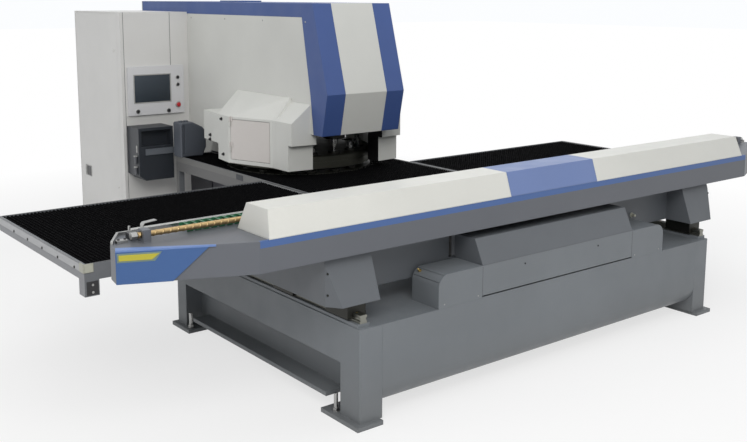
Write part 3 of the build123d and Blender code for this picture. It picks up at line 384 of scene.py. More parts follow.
def railPaint(name, side, lower, front, split, topFrom):
    # Table profile: bright anodised sides with the lower half darker, a painted shade of the profile's
    # groove, gray painted ends, a dark top
    material, tree, shader = startMaterial(name, side, 0.46)
    facing = tree.nodes.new("ShaderNodeNewGeometry")
    normal = separate(tree, facing.outputs["Normal"])
    place = separate(tree, coordinates(tree))
    drawn = noise(tree, coordinates(tree, (40, 1, 40)), patternScale["drawn"], 4.0, 0.6)
    bright, grooveShaded = [tinted(tree, drawn, colour, 0.9, 1.05) for colour in (side, lower)]
    # Below the split the side takes the darker colour: painted shade in the groove
    bright = blendColours(tree, calculate(tree, "LESS_THAN", place["Z"], split), bright, grooveShaded)
    ends = tinted(tree, noise(tree, coordinates(tree), patternScale["end"]), front, 0.93, 1.0)
    sideways = calculate(tree, "GREATER_THAN", calculate(tree, "ABSOLUTE", normal["X"]), 0.5)
    tint = blendColours(tree, sideways, ends, bright)
    inner = calculate(tree, "LESS_THAN", calculate(tree, "ABSOLUTE", place["X"]), topFrom)
    top = allOf(tree, calculate(tree, "GREATER_THAN", normal["Z"], 0.5), inner)
    tree.links.new(blendColours(tree, top, tint, scaled(front, 0.25)), shader.inputs["Base Color"])
    addBump(tree, shader, drawn, 0.1, reliefDepth["metal"], 0.002)
    return material


white = (0.66, 0.665, 0.635)
castGray = (0.172, 0.188, 0.204)
profileGray = (0.142, 0.150, 0.162)
boxBlack = (0.021, 0.025, 0.032)
dust = (0.30, 0.29, 0.27)
floorDust = (0.15, 0.145, 0.135)
everywhere = 9.0  # further out than any part of the machine
heavyPaint = {"roughness": 0.46, "grain": 260.0, "relief": 0.2, "cloud": 0.08}
looks = {
    paint: {
        "panelWhite": {"colour": white, "roughness": 0.40, "low": (0.0, 0.5, 0.25, dust)},
        "cabinetWhite": {"colour": (0.66, 0.655, 0.64), "roughness": 0.38, "grain": 300.0,
                         "low": (0.0, 0.4, 0.2, dust)},
        "panelGray": {"colour": (0.645, 0.645, 0.66), "roughness": 0.38},
        "doorWhite": {"colour": (0.66, 0.625, 0.60), "roughness": 0.40},
        "coverWhite": {"colour": (0.70, 0.70, 0.66), "roughness": 0.36, "edge": 0.008},
        "headBlue": {"colour": (0.048, 0.094, 0.28), "roughness": 0.46, "cloud": 0.08, "edge": 0.006},
        "plateBlue": {"colour": (0.15, 0.215, 0.43), "roughness": 0.38, "edge": 0.008},
        "endBlue": {"colour": (0.043, 0.109, 0.285), "cloud": 0.08},
        # Lighter blue for the lip: a painted highlight along the end cover's top edge
        "edgeBlue": {"colour": (0.14, 0.235, 0.50), "roughness": 0.38},
        "frameGray": {"colour": castGray, **heavyPaint, "edge": 0.006, "low": (0.0, 0.35, 0.3, floorDust)},
        "housingGray": {"colour": castGray, **heavyPaint, "edge": 0.0015},
        "legGray": {"colour": (0.114, 0.124, 0.137), **heavyPaint, "edge": 0.006},
        # Darker than the other frame grays: partly a dark paint, partly painted shade under the table
        "columnGray": {"colour": (0.06, 0.06, 0.072), **heavyPaint, "roughness": 0.5, "cloud": 0.1,
                       "edge": 0.006},
        "capCream": {"colour": (0.42, 0.42, 0.35)},
        "darkBox": {"colour": boxBlack, "roughness": 0.44, "cloud": 0.12},
        "driveCover": {"colour": (0.068, 0.077, 0.094), "roughness": 0.46, "cloud": 0.12},
        "stripeYellow": {"colour": (0.47, 0.42, 0.035), "roughness": 0.38, "cloud": 0.06},
        "stripeBorder": {"colour": (0.155, 0.225, 0.20), "roughness": 0.38},
    },
    bandPaint: {
        # Near-black below the table's height: partly the darker lower frame, partly painted shade under the
        # table
        "sidePaint": {"colour": white, "band": (0.030, 0.030, 0.037), "x": everywhere, "z": (-1.0, 0.846),
                      "y": everywhere},
        # Near-black on the covers' inner faces by the throat: painted shade inside the throat
        "coverPaint": {"colour": white, "band": (0.006, 0.006, 0.007), "x": 0.322, "z": (-1.0, everywhere),
                       "y": everywhere},
        "beamGray": {"colour": (0.114, 0.122, 0.140), "band": (0.060, 0.125, 0.32), "x": 2.117,
                     "z": (1.053, 1.2), "y": -2.5},
        "airBox": {"colour": boxBlack, "band": (0.115, 0.127, 0.145), "x": 2.0, "z": (0.876, 0.930),
                   "y": 1.345},
    },
    railPaint: {
        "tableRail": {"side": (0.42, 0.425, 0.435), "lower": (0.23, 0.235, 0.25), "front": profileGray,
                      "split": 0.828, "topFrom": 2.648},
        "centreRail": {"side": (0.145, 0.145, 0.14), "lower": (0.11, 0.11, 0.11), "front": profileGray,
                       "split": 0.826, "topFrom": 0.69},
    },
    brushedMetal: {
        "machinedSteel": {"colour": (0.42, 0.42, 0.41), "roughness": 0.32, "direction": (1, 1, 30)},
        "brightSteel": {"colour": (0.62, 0.62, 0.60), "roughness": 0.22, "direction": (1, 1, 20),
                        "cloud": 0.08},
        "railSteel": {"colour": (0.26, 0.26, 0.23), "roughness": 0.36, "direction": (60, 1, 60),
                      "cloud": 0.2},
        "darkSteel": {"colour": (0.045, 0.045, 0.041), "roughness": 0.42, "direction": (1, 1, 30),
                      "cloud": 0.2},
        "screwGold": {"colour": (0.42, 0.30, 0.15), "roughness": 0.40, "direction": (60, 1, 1)},
        "brass": {"colour": (0.62, 0.47, 0.20), "roughness": 0.30, "direction": (1, 1, 1)},
    },
    turnedMetal: {
        "turretSteel": {"colour": (0.085, 0.085, 0.070), "roughness": 0.40, "centre": (0, 0.319)},
    },
    mouldedPlastic: {
        "chainGreen": {"colour": (0.030, 0.15, 0.07), "roughness": 0.45},
        "devicePlastic": {"colour": (0.38, 0.38, 0.37), "roughness": 0.5},
        "regulatorGray": {"colour": (0.10, 0.105, 0.115), "roughness": 0.45},
        "buttonRed": {"colour": (0.50, 0.02, 0.025), "roughness": 0.28},
        "buttonBlack": {"colour": (0.018, 0.018, 0.02), "roughness": 0.35},
    },
    bristleMaterial: {
        "brushBlack": {"colour": (0.0022, 0.0022, 0.0026), "speck": (0.010, 0.010, 0.010)},
    },
    screenMaterial: {
        "screenGlass": {"dark": (0.010, 0.017, 0.026), "light": (0.045, 0.060, 0.080), "x": (-0.9, -0.57),
                        "z": (1.32, 1.55)},
    },
}
materials = {}
for makeCoat, coats in looks.items():
    for name, look in coats.items():
        materials[name] = makeCoat(name, **look)
slotMaterial = {
    "panel_white": "panelWhite", "head_blue": "headBlue", "plate_blue": "plateBlue",
    "frame_gray": "frameGray", "table_aluminium": "tableRail", "brush_black": "brushBlack",
    "machined_steel": "machinedSteel", "screw_gold": "screwGold", "carrier_green": "chainGreen",
    "dark_box": "darkBox", "device_plastic": "devicePlastic", "screen_glass": "screenGlass",
    "button_red": "buttonRed", "button_black": "buttonBlack",
}
nodeMaterial = {
    "cross_beam": "beamGray", "beam_end_covers": "endBlue", "beam_cover_left": "coverWhite",
    "beam_cover_right": "coverWhite", "control_cabinet": "cabinetWhite", "cabinet_door": "cabinetWhite",
    "tool_door": "doorWhite", "operator_panel": "panelGray", "y_rails": "railSteel",
    "x_rails": "brightSteel", "underframe": "legGray", "y_drive_hood": "legGray",
    "y_drive_housing": "housingGray", "main_frame": "columnGray", "guide_blocks": "darkSteel",
    "lower_turret": "turretSteel", "dies": "darkSteel", "air_unit_box": "airBox",
    "turret_drive_cover": "driveCover", "center_table_frame": "centreRail",
    "turret_cover_left": "coverPaint", "turret_cover_right": "coverPaint", "side_panel_left": "sidePaint",
    "side_panel_right": "sidePaint", "rear_cover": "sidePaint",
}
for part in frame["record"]["subparts"]:
    node = part["node"]
    coat = nodeMaterial.get(node, slotMaterial[part["material_slot"]])
    mesh = nodes[node].data
    mesh.materials.clear()
    mesh.materials.append(materials[coat])
print("materials:", len(materials))


# Geometry Nodes helpers
def newTree(name, inputs):
    # A tree with named inputs, given as (name, kind of socket); returns the tree and its inputs' sockets
    tree = bpy.data.node_groups.new(name, "GeometryNodeTree")
    tree.interface.new_socket("Geometry", in_out="OUTPUT", socket_type="NodeSocketGeometry")
    for label, kind in {"Geometry": "Geometry", "Material": "Material", **inputs}.items():
        tree.interface.new_socket(label, in_out="INPUT", socket_type="NodeSocket" + kind)
    return tree, tree.nodes.new("NodeGroupInput").outputs


def addNode(tree, kind, links=None, values=None, **settings):
    # A node with its settings, its linked inputs and its plain values; a linked node gives its first output
    node = tree.nodes.new(kind)
    for key, value in settings.items():
        setattr(node, key, value)
    for socket, source in (links or {}).items():
        tree.links.new(source.outputs[0] if isinstance(source, bpy.types.Node) else source,
                       node.inputs[socket])
    for socket, value in (values or {}).items():
        node.inputs[socket].default_value = value
    return node


def endTree(tree, given, geometry):
    realized = addNode(tree, "GeometryNodeRealizeInstances", {"Geometry": geometry})
    coated = addNode(tree, "GeometryNodeSetMaterial", {"Geometry": realized, "Material": given["Material"]})
    addNode(tree, "NodeGroupOutput", {"Geometry": coated})
    return tree


def runTree(name, tree, values, base=None):
    # Runs a tree on a mesh and keeps the result as a plain mesh
    holder = newObject(name + "Holder", base or bpy.data.meshes.new(name + "Start"))
    modifier = holder.modifiers.new("shape", "NODES")
    modifier.node_group = tree
    for item in tree.interface.items_tree:
        if item.item_type == "SOCKET" and item.in_out == "INPUT" and item.name in values:
            modifier[item.identifier] = values[item.name]
    result = evaluatedMesh(holder)
    result.name = name
    holder.modifiers.remove(modifier)
    bpy.data.objects.remove(holder)
    return newObject(name, result)


def joinPieces(name, pieces):
    # Several finished meshes of one body become one piece
    work = bmesh.new()
    coats = []
    for piece in pieces:
        start = len(work.faces)
        work.from_mesh(piece.data)
        work.faces.ensure_lookup_table()
        places = []
        for material in piece.data.materials:
            if material not in coats:
                coats.append(material)
            places.append(coats.index(material))
        for face in work.faces[start:]:
            face.material_index = places[face.material_index]
        bpy.data.objects.remove(piece)
    mesh = bpy.data.meshes.new(name)
    work.to_mesh(mesh)
    work.free()
    for material in coats:
        mesh.materials.append(material)
    return newObject(name, mesh)


# Brush tables: rows of tufts on a base strip
brushSettings = {"pitch": 0.024, "tuftRadius": 0.0085, "tipRadius": 0.0055, "tuftHeight": 0.013,
                 "tipGap": 0.0008, "tuftSides": 5, "baseDrop": 0.011, "lean": 0.22, "turn": 6.2,
                 "shortest": 0.85, "seed": 7, "wingInner": 0.738, "notchHalf": 0.373, "notchStart": 0.963,
                 "hole": 0.612, "holeMargin": 0.012}
centerLow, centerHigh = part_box("center_table_brushes")
wingLow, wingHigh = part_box("wing_brushes")
turretLow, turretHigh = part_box("upper_turret")
turretCentre = tuple(middle("upper_turret"))[:2]


def tuftTree():
    tree, given = newTree("tuftField", {
        "Size X": "Float", "Size Y": "Float", "Centre": "Vector", "Pitch": "Float", "Radius": "Float",
        "Tip Radius": "Float", "Height": "Float", "Hole Centre": "Vector", "Hole Radius": "Float",
        "Seed": "Int"})
    counts = []
    for size in ("Size X", "Size Y"):
        ratio = addNode(tree, "ShaderNodeMath", {0: given[size], 1: given["Pitch"]}, operation="DIVIDE")
        counts.append(addNode(tree, "ShaderNodeMath", {0: ratio}, operation="ROUND"))
    grid = addNode(tree, "GeometryNodeMeshGrid", {"Size X": given["Size X"], "Size Y": given["Size Y"],
                                                  "Vertices X": counts[0], "Vertices Y": counts[1]})
    moved = addNode(tree, "GeometryNodeTransform", {"Geometry": grid, "Translation": given["Centre"]})
    place = addNode(tree, "GeometryNodeInputPosition")
    away = addNode(tree, "ShaderNodeVectorMath", {0: place, 1: given["Hole Centre"]}, operation="DISTANCE")
    inHole = addNode(tree, "FunctionNodeCompare", {"A": away.outputs["Value"], "B": given["Hole Radius"]},
                     data_type="FLOAT", operation="LESS_THAN")
    kept = addNode(tree, "GeometryNodeDeleteGeometry", {"Geometry": moved, "Selection": inHole},
                   domain="POINT")
    tuft = addNode(tree, "GeometryNodeMeshCone", {"Radius Bottom": given["Radius"], "Depth": given["Height"],
                                                  "Radius Top": given["Tip Radius"]},
                   {"Vertices": brushSettings["tuftSides"], "Side Segments": 1})
    lean = brushSettings["lean"]
    turn = addNode(tree, "FunctionNodeRandomValue", {"Seed": given["Seed"]},
                   {0: (-lean, -lean, 0), 1: (lean, lean, brushSettings["turn"])}, data_type="FLOAT_VECTOR")
    size = addNode(tree, "FunctionNodeRandomValue", {"Seed": given["Seed"]},
                   {2: brushSettings["shortest"], 3: 1.0}, data_type="FLOAT")
    spread = addNode(tree, "GeometryNodeInstanceOnPoints",
                     {"Points": kept, "Instance": tuft, "Rotation": turn, "Scale": size.outputs[1]})
    return endTree(tree, given, spread)


def brushField(name, areas, node, body, hole=None):
    # Tufts over each area, on a base that fills the node's outline below the tips
    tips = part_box(node)[1].z
    pitch = brushSettings["pitch"]
    height = brushSettings["tuftHeight"]
    fields = []
    for number, (x, y) in enumerate(areas):
        base = tips - height - brushSettings["tipGap"]
        values = {
            "Material": materials["brushBlack"], "Pitch": pitch, "Radius": brushSettings["tuftRadius"],
            "Tip Radius": brushSettings["tipRadius"], "Height": height,
            "Seed": brushSettings["seed"] + number, "Size X": x[1] - x[0] - pitch,
            "Size Y": y[1] - y[0] - pitch, "Centre": ((x[0] + x[1]) / 2, (y[0] + y[1]) / 2, base)}
        if hole:
            values["Hole Centre"] = (*hole, base)
            values["Hole Radius"] = brushSettings["hole"] + brushSettings["holeMargin"]
        fields.append(runTree(f"{name}Tufts{number}", brushTree, values))
    base = bmesh.new()
    base.from_mesh(nodes[node].data)
    bmesh.ops.remove_doubles(base, verts=base.verts, dist=0.0001)
    for corner in base.verts:
        if corner.co.z > tips - 0.001:
            corner.co.z = tips - brushSettings["baseDrop"]
    fields.append(meshFrom(name + "Base", base, ["brushBlack"]))
    settle(joinPieces(name, fields), body, "brush_black", node)


brushTree = tuftTree()
notchHalf, notchStart = brushSettings["notchHalf"], brushSettings["notchStart"]
brushField("centerBrushes", [((centerLow.x, centerHigh.x), (centerLow.y, notchStart)),
                             ((centerLow.x, -notchHalf), (notchStart, centerHigh.y)),
                             ((notchHalf, centerHigh.x), (notchStart, centerHigh.y))],
           "center_table_brushes", "machine", turretCentre)
brushField("wingBrushes", [((wingLow.x, -brushSettings["wingInner"]), (wingLow.y, wingHigh.y)),
                           ((brushSettings["wingInner"], wingHigh.x), (wingLow.y, wingHigh.y))],
           "wing_brushes", "y_carriage")
print("brush tables done")


# Turret: smooth discs and tools in place of the plain ones
turretSettings = {"stations": 16, "empty": (4, 8, 12), "pitchRadius": 0.500, "first": -90, "disc": 0.600,
                  "hub": 0.0803, "bore": 0.040, "emptyBore": 0.046, "steps": 128, "overcut": 0.01,
                  "groove": (0.055, 0.063), "grooveDepth": 0.004, "lowChamfer": 0.003, "highChamfer": 0.012}
stations = range(turretSettings["stations"])


def onCircle(centre, radius, angle, z=0):
    return centre[0] + radius * cos(angle), centre[1] + radius * sin(angle), z


def stationPoint(index):
    angle = radians(turretSettings["first"] + index * 360 / turretSettings["stations"])
    return onCircle(turretCentre, turretSettings["pitchRadius"], angle)


def cutBores(disc, bores, low, high):
    # Takes round bores out of a disc
    work = bmesh.new()
    for place, radius in bores:
        addTurned(work, rod(low - turretSettings["overcut"], high + turretSettings["overcut"], radius),
                  place)
    cutter = meshFrom("boreCutter", work)
    modifier = disc.modifiers.new("bores", "BOOLEAN")
    modifier.object = cutter
    modifier.operation = "DIFFERENCE"
    modifier.solver = "EXACT"
    result = evaluatedMesh(disc)
    disc.modifiers.remove(modifier)
    bpy.data.objects.remove(cutter)
    disc.data = result
    work = bmesh.new()
    work.from_mesh(result)
    keepSharp(work)
    work.to_mesh(result)
    work.free()


def turretDisc():
    low, high = turretLow.z, turretHigh.z
    radius, hub = turretSettings["disc"], turretSettings["hub"]
    grooveLow, grooveHigh = [low + height for height in turretSettings["groove"]]
    grooveRadius = radius - turretSettings["grooveDepth"]
    lowChamfer, highChamfer = turretSettings["lowChamfer"], turretSettings["highChamfer"]
    work = bmesh.new()
    addTurned(work, [(low, hub), (low, radius - lowChamfer), (low + lowChamfer, radius), (grooveLow, radius),
                     (grooveLow, grooveRadius), (grooveHigh, grooveRadius), (grooveHigh, radius),
                     (high - highChamfer, radius), (high, radius - highChamfer), (high, hub), (low, hub)],
              (*turretCentre, 0), steps=turretSettings["steps"])
    disc = meshFrom("upperTurretDisc", work, ["turretSteel"], merge=True)
    bores = []
    for index in stations:
        size = "emptyBore" if index in turretSettings["empty"] else "bore"
        bores.append((stationPoint(index), turretSettings[size]))
    cutBores(disc, bores, low, high)
    settle(disc, "upper_turret", "machined_steel", "upper_turret")


turretDisc()


# Punches: a guide in the disc, a spring and a head, and the one under the striker with its open guide
punchLow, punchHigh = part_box("punches")
punchSettings = {"guide": 0.0397, "flange": 0.046, "flangeHeight": 0.014, "chamfer": 0.002, "steps": 28,
                 "openGuide": 0.0145, "openGuideLift": 0.02, "stem": 0.016, "head": 0.022,
                 "headHeight": 0.025, "headChamfer": 0.003, "activeStem": 0.0135, "activeTip": 0.011,
                 "activeHead": 0.024}
springSettings = {"radius": 0.030, "wire": 0.0042, "turns": 4.5, "steps": 18, "sides": 6}


def springCoil(work, place, low, high, slot):
    # A round wire wound up between two heights
    steps, sides, wire = springSettings["steps"], springSettings["sides"], springSettings["wire"]
    count = int(springSettings["turns"] * steps)
    rings = []
    for step in range(count + 1):
        angle = 2 * pi * step / steps
        out = Vector((cos(angle), sin(angle), 0))
        height = Vector((0, 0, low + wire + (high - low - 2 * wire) * step / count))
        centre = Vector(place) + height + out * (springSettings["radius"] - wire)
        around = [2 * pi * side / sides for side in range(sides)]
        rings.append([work.verts.new(centre + wire * (out * cos(bend) + Vector((0, 0, sin(bend)))))
                      for bend in around])
    for first, second in zip(rings, rings[1:]):
        addSides(work, first, second, slot)
    for ring in (rings[0], rings[-1]):
        work.faces.new(ring).material_index = slot


def punchTools():
    guide, flange = punchSettings["guide"], punchSettings["flange"]
    steps, chamfer = punchSettings["steps"], punchSettings["chamfer"]
    stem, head = punchSettings["stem"], punchSettings["head"]
    discTop = turretHigh.z
    flangeTop = discTop + punchSettings["flangeHeight"]
    headTop = punchHigh.z
    headLow = headTop - punchSettings["headHeight"]
    headEdge = headTop - punchSettings["headChamfer"]
    collar = [(discTop, guide), (discTop, flange), (flangeTop - chamfer, flange),
              (flangeTop, flange - chamfer)]
    openLow, openGuide = punchLow.z + punchSettings["openGuideLift"], punchSettings["openGuide"]
    work = bmesh.new()
    addTurned(work, [(openLow, openGuide), (openLow, guide), *collar, (flangeTop, openGuide),
                     (openLow, openGuide)],
              stationPoint(0), steps=steps)
    for index in stations[1:]:
        if index in turretSettings["empty"]:
            continue
        place = stationPoint(index)
        addTurned(work, [(punchLow.z, 0), (punchLow.z, guide), *collar, (flangeTop, 0)], place, steps=steps)
        addTurned(work, [(flangeTop - 0.001, 0), (flangeTop - 0.001, stem), (headLow, stem), (headLow, head),
                         (headEdge, head), (headTop, head - punchSettings["headChamfer"]), (headTop, 0)],
                  place, steps=steps, slot=1)
        springCoil(work, place, flangeTop, headLow, 1)
    settle(meshFrom("punchTools", work, ["darkSteel", "brightSteel"], merge=True), "upper_turret",
           "machined_steel", "punches")
    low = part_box("active_punch")[0].z
    stem, tip, head = punchSettings["activeStem"], punchSettings["activeTip"], punchSettings["activeHead"]
    work = bmesh.new()
    addTurned(work, [(low, 0), (low, tip), (low + chamfer, stem), (headLow, stem), (headLow, head),
                     (headEdge, head), (headTop, head - punchSettings["headChamfer"]), (headTop, 0)],
              stationPoint(0), steps=steps)
    settle(meshFrom("activePunch", work, ["brightSteel"]), "active_punch", "machined_steel", "active_punch")


punchTools()


# Ram: its guide housing with a bolted flange, and the striker; then the turrets' fixed shafts
ramSettings = {"bore": 0.0303, "nose": 0.085, "body": 0.091, "sleeve": 0.109, "neck": 0.110, "flange": 0.150,
               "flangeThick": 0.015, "bolts": 8, "boltCircle": 0.130, "throatLift": 0.029,
               "strikerTip": 0.0285, "striker": 0.0298}
shaftSettings = {"shaft": 0.0795, "flange": 0.140, "top": 0.080, "clearance": 0.0004,
                 "flangeHigh": (0.025, 0.028), "bolts": 12, "boltCircle": 0.116,
                 "socketHead": [(0.027, 0.009), (0.037, 0.009), (0.037, 0.005), (0.031, 0.005), (0.031, 0)]}


def ramHousing():
    low, high = [corner.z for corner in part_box("ram_housing")]
    place = stationPoint(0)
    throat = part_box("head_cover_center")[0].z + ramSettings["throatLift"]
    bore, body, sleeve = ramSettings["bore"], ramSettings["body"], ramSettings["sleeve"]
    neck, flange = ramSettings["neck"], ramSettings["flange"]
    flangeLow = throat - ramSettings["flangeThick"]
    work = bmesh.new()
    addTurned(work, [(low, bore), (low, ramSettings["nose"]), (low + 0.006, body), (low + 0.030, body),
                     (low + 0.034, sleeve), (flangeLow, sleeve), (flangeLow, flange - 0.003),
                     (throat - 0.002, flange), (throat, flange), (throat, neck), (high, neck), (high, bore),
                     (low, bore)], place, steps=48)
    for bolt in range(ramSettings["bolts"]):
        angle = 2 * pi * (bolt + 0.5) / ramSettings["bolts"]
        addTurned(work, [(flangeLow - 0.0075, 0), (flangeLow - 0.0075, 0.008), (flangeLow + 0.0005, 0.009),
                         (flangeLow + 0.0005, 0)],
                  onCircle(place, ramSettings["boltCircle"], angle), steps=12, slot=1)
    settle(meshFrom("ramHousing", work, ["darkSteel", "buttonBlack"], merge=True), "machine",
           "machined_steel", "ram_housing")


def strikerBar():
    low, high = [corner.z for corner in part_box("striker")]
    radius = ramSettings["striker"]
    work = bmesh.new()
    addTurned(work, [(low, 0), (low, ramSettings["strikerTip"]), (low + 0.0015, radius), (high, radius),
                     (high, 0)],
              stationPoint(0), steps=40)
    settle(meshFrom("strikerBar", work, ["brightSteel"]), "ram", "machined_steel", "striker")


def turretShafts():
    low, high = [corner.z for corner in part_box("turret_shafts")]
    lowerLow, lowerHigh = [corner.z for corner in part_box("lower_turret")]
    shaft, flange, top = shaftSettings["shaft"], shaftSettings["flange"], shaftSettings["top"]
    seat = turretHigh.z + shaftSettings["clearance"]
    edge, face = [turretHigh.z + height for height in shaftSettings["flangeHigh"]]
    seatLow = lowerLow - shaftSettings["clearance"]
    work = bmesh.new()
    addTurned(work, [(turretLow.z, 0), (turretLow.z, shaft), (seat, shaft), (seat, flange), (edge, flange),
                     (face, flange - 0.003), (face, top), (high, top), (high, 0)], (*turretCentre, 0),
              steps=64)
    for bolt in range(shaftSettings["bolts"]):
        angle = 2 * pi * bolt / shaftSettings["bolts"]
        addTurned(work, shaftSettings["socketHead"],
                  onCircle(turretCentre, shaftSettings["boltCircle"], angle, turretHigh.z), steps=12, slot=1)
    addTurned(work, [(low, 0), (low, flange), (seatLow, flange), (seatLow, shaft), (lowerHigh, shaft),
                     (lowerHigh, 0)],
              (*turretCentre, 0), steps=64)
    settle(meshFrom("turretShafts", work, ["darkSteel", "buttonBlack"]), "machine", "machined_steel",
           "turret_shafts")


ramHousing()
strikerBar()
turretShafts()
print("turret done")


# Ball screws: a thread that winds along the core
screwSettings = {
    "xScrew": {"node": "x_ball_screw", "body": "x_screw", "rotation": (0, pi / 2, 0), "radius": 0.016,
               "lead": 0.04, "thread": 0.0045},
    "yScrew": {"node": "y_ball_screw", "body": "y_screw", "rotation": (pi / 2, 0, 0), "radius": 0.025,
               "lead": 0.04, "thread": 0.006},
}
threadSettings = {"core": 0.86, "steps": 20, "sides": 6, "coreSides": 24, "endGap": 0.004}


def threadTree():
    tree, given = newTree("threadedBar", {
        "Length": "Float", "Radius": "Float", "Turns": "Float", "Thread": "Float", "Rotation": "Vector",
        "Centre": "Vector"})
    core = addNode(tree, "ShaderNodeMath", {0: given["Radius"]}, {1: threadSettings["core"]},
                   operation="MULTIPLY")
    crest = addNode(tree, "ShaderNodeMath", {0: given["Radius"], 1: given["Thread"]}, operation="SUBTRACT")
    spiral = addNode(tree, "GeometryNodeCurveSpiral", {"Rotations": given["Turns"], "Start Radius": crest,
                                                       "End Radius": crest, "Height": given["Length"]},
                     {"Resolution": threadSettings["steps"]})
    ridge = addNode(tree, "GeometryNodeCurvePrimitiveCircle", {"Radius": given["Thread"]},
                    {"Resolution": threadSettings["sides"]})
    thread = addNode(tree, "GeometryNodeCurveToMesh", {"Curve": spiral, "Profile Curve": ridge},
                     {"Fill Caps": True})
    bar = addNode(tree, "GeometryNodeMeshCylinder", {"Radius": core, "Depth": given["Length"]},
                  {"Vertices": threadSettings["coreSides"]})
    half = addNode(tree, "ShaderNodeMath", {0: given["Length"]}, {1: -0.5}, operation="MULTIPLY")
    drop = addNode(tree, "ShaderNodeCombineXYZ", {"Z": half})
    lowered = addNode(tree, "GeometryNodeTransform", {"Geometry": thread, "Translation": drop})
    smooth = addNode(tree, "GeometryNodeSetShadeSmooth", {0: lowered})
    both = addNode(tree, "GeometryNodeJoinGeometry", {"Geometry": smooth})
    tree.links.new(bar.outputs["Mesh"], both.inputs["Geometry"])
    laid = addNode(tree, "GeometryNodeTransform", {"Geometry": both, "Rotation": given["Rotation"],
                                                   "Translation": given["Centre"]})
    return endTree(tree, given, laid)


def ballScrews():
    tree = threadTree()
    for name, screw in screwSettings.items():
        low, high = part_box(screw["node"])
        length = max(high - low) - threadSettings["endGap"]
        bar = runTree(name, tree, {
            "Material": materials["screwGold"], "Length": length, "Radius": screw["radius"],
            "Turns": length / screw["lead"], "Thread": screw["thread"],
            "Centre": tuple(middle(screw["node"])), "Rotation": screw["rotation"]})
        settle(bar, screw["body"], "screw_gold", screw["node"])


ballScrews()


# Cable chain on the beam: side plates, cross bars and pins, one link after another
chainSettings = {"pitch": 0.045, "wall": 0.004, "bar": 0.010, "barHeight": 0.004, "outer": (-0.47, 0.30),
                 "inner": (0.18, 0.60), "innerHeight": (0.12, 0.88), "pin": 0.006, "pinAt": -0.25,
                 "firstLink": 0.5, "lastLink": 0.65}


def chainLink(width, height):
    # One link's mesh at the origin, along X
    pitch, wall, bar = chainSettings["pitch"], chainSettings["wall"], chainSettings["bar"]
    outerX = [pitch * share for share in chainSettings["outer"]]
    innerX = [pitch * share for share in chainSettings["inner"]]
    innerZ = [height * share for share in chainSettings["innerHeight"]]
    pin = chainSettings["pin"]
    work = bmesh.new()
    for side in (-1, 1):
        face = side * width / 2
        addBlock(work, (outerX[0], face - side * wall, 0), (outerX[1], face, height), rounding=0.0012)
        addBlock(work, (innerX[0], face - side * 2.1 * wall, innerZ[0]),
                 (innerX[1], face - side * 1.1 * wall, innerZ[1]), rounding=0.0010)
        addTurned(work, [(0, 0), (0, pin), (wall * 0.35, pin - 0.001), (wall * 0.35, 0)],
                  (pitch * chainSettings["pinAt"], face - side * wall * 0.36, height / 2), (0, side, 0),
                  steps=12)
    reach = width / 2 - wall * 0.9
    for z in (0.0005, height - 0.0045):
        addBlock(work, (-bar / 2, -reach, z), (bar / 2, reach, z + chainSettings["barHeight"]),
                 rounding=0.0008)
    return meshFrom("chainLink", work)


def linkTree():
    tree, given = newTree("linkRow", {"Link": "Object", "Pitch": "Float", "From": "Vector", "To": "Vector"})
    line = addNode(tree, "GeometryNodeCurvePrimitiveLine", {"Start": given["From"], "End": given["To"]})
    points = addNode(tree, "GeometryNodeResampleCurve", {"Curve": line, "Length": given["Pitch"]},
                     mode="LENGTH")
    link = addNode(tree, "GeometryNodeObjectInfo", {"Object": given["Link"]}, {"As Instance": True})
    row = addNode(tree, "GeometryNodeInstanceOnPoints",
                  {"Points": points, "Instance": link.outputs["Geometry"]})
    return endTree(tree, given, row)


def cableChain():
    low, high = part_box("cable_carrier")
    centreY = (low.y + high.y) / 2
    link = chainLink(high.y - low.y, high.z - low.z)
    pitch = chainSettings["pitch"]
    chain = runTree("cableChain", linkTree(), {
        "Material": materials["chainGreen"], "Link": link, "Pitch": pitch,
        "From": (low.x + pitch * chainSettings["firstLink"], centreY, low.z),
        "To": (high.x - pitch * chainSettings["lastLink"], centreY, low.z)})
    bpy.data.objects.remove(link)
    settle(chain, "y_carriage", "carrier_green", "cable_carrier")


cableChain()
print("screws and chain done")


# Fasteners in rows: each row is an edge from its first screw to its last, with the way the heads face
def screwRowTree():
    tree, given = newTree("screwRows", {"Head": "Object", "Pitch": "Float"})
    curve = addNode(tree, "GeometryNodeMeshToCurve", {"Mesh": given["Geometry"]})
    points = addNode(tree, "GeometryNodeResampleCurve", {"Curve": curve, "Length": given["Pitch"]},
                     mode="LENGTH")
    facing = addNode(tree, "GeometryNodeInputNamedAttribute", values={"Name": "facing"},
                     data_type="FLOAT_VECTOR")
    turn = addNode(tree, "FunctionNodeAlignRotationToVector", {"Vector": facing}, axis="Z")
    head = addNode(tree, "GeometryNodeObjectInfo", {"Object": given["Head"]}, {"As Instance": True})
    row = addNode(tree, "GeometryNodeInstanceOnPoints",
                  {"Points": points, "Instance": head.outputs["Geometry"], "Rotation": turn})
    return endTree(tree, given, row)


def screwHead(kind, radius, height):
    # A head at the origin, facing up Z and sunk a little into its plate
    if kind == "socket":
        shape = [(height - 0.001, radius), (height, radius * 0.9), (height, radius * 0.55),
                 (height * 0.45, radius * 0.5), (height * 0.45, 0)]
    else:
        shape = [(height * 0.35, radius), (height * 0.85, radius * 0.7), (height, radius * 0.42),
                 (height * 0.4, radius * 0.38), (height * 0.4, 0)]
    work = bmesh.new()
    addTurned(work, [(sunk, 0), (sunk, radius), *shape], (0, 0, 0), steps=12)
    return meshFrom("screwHead", work)


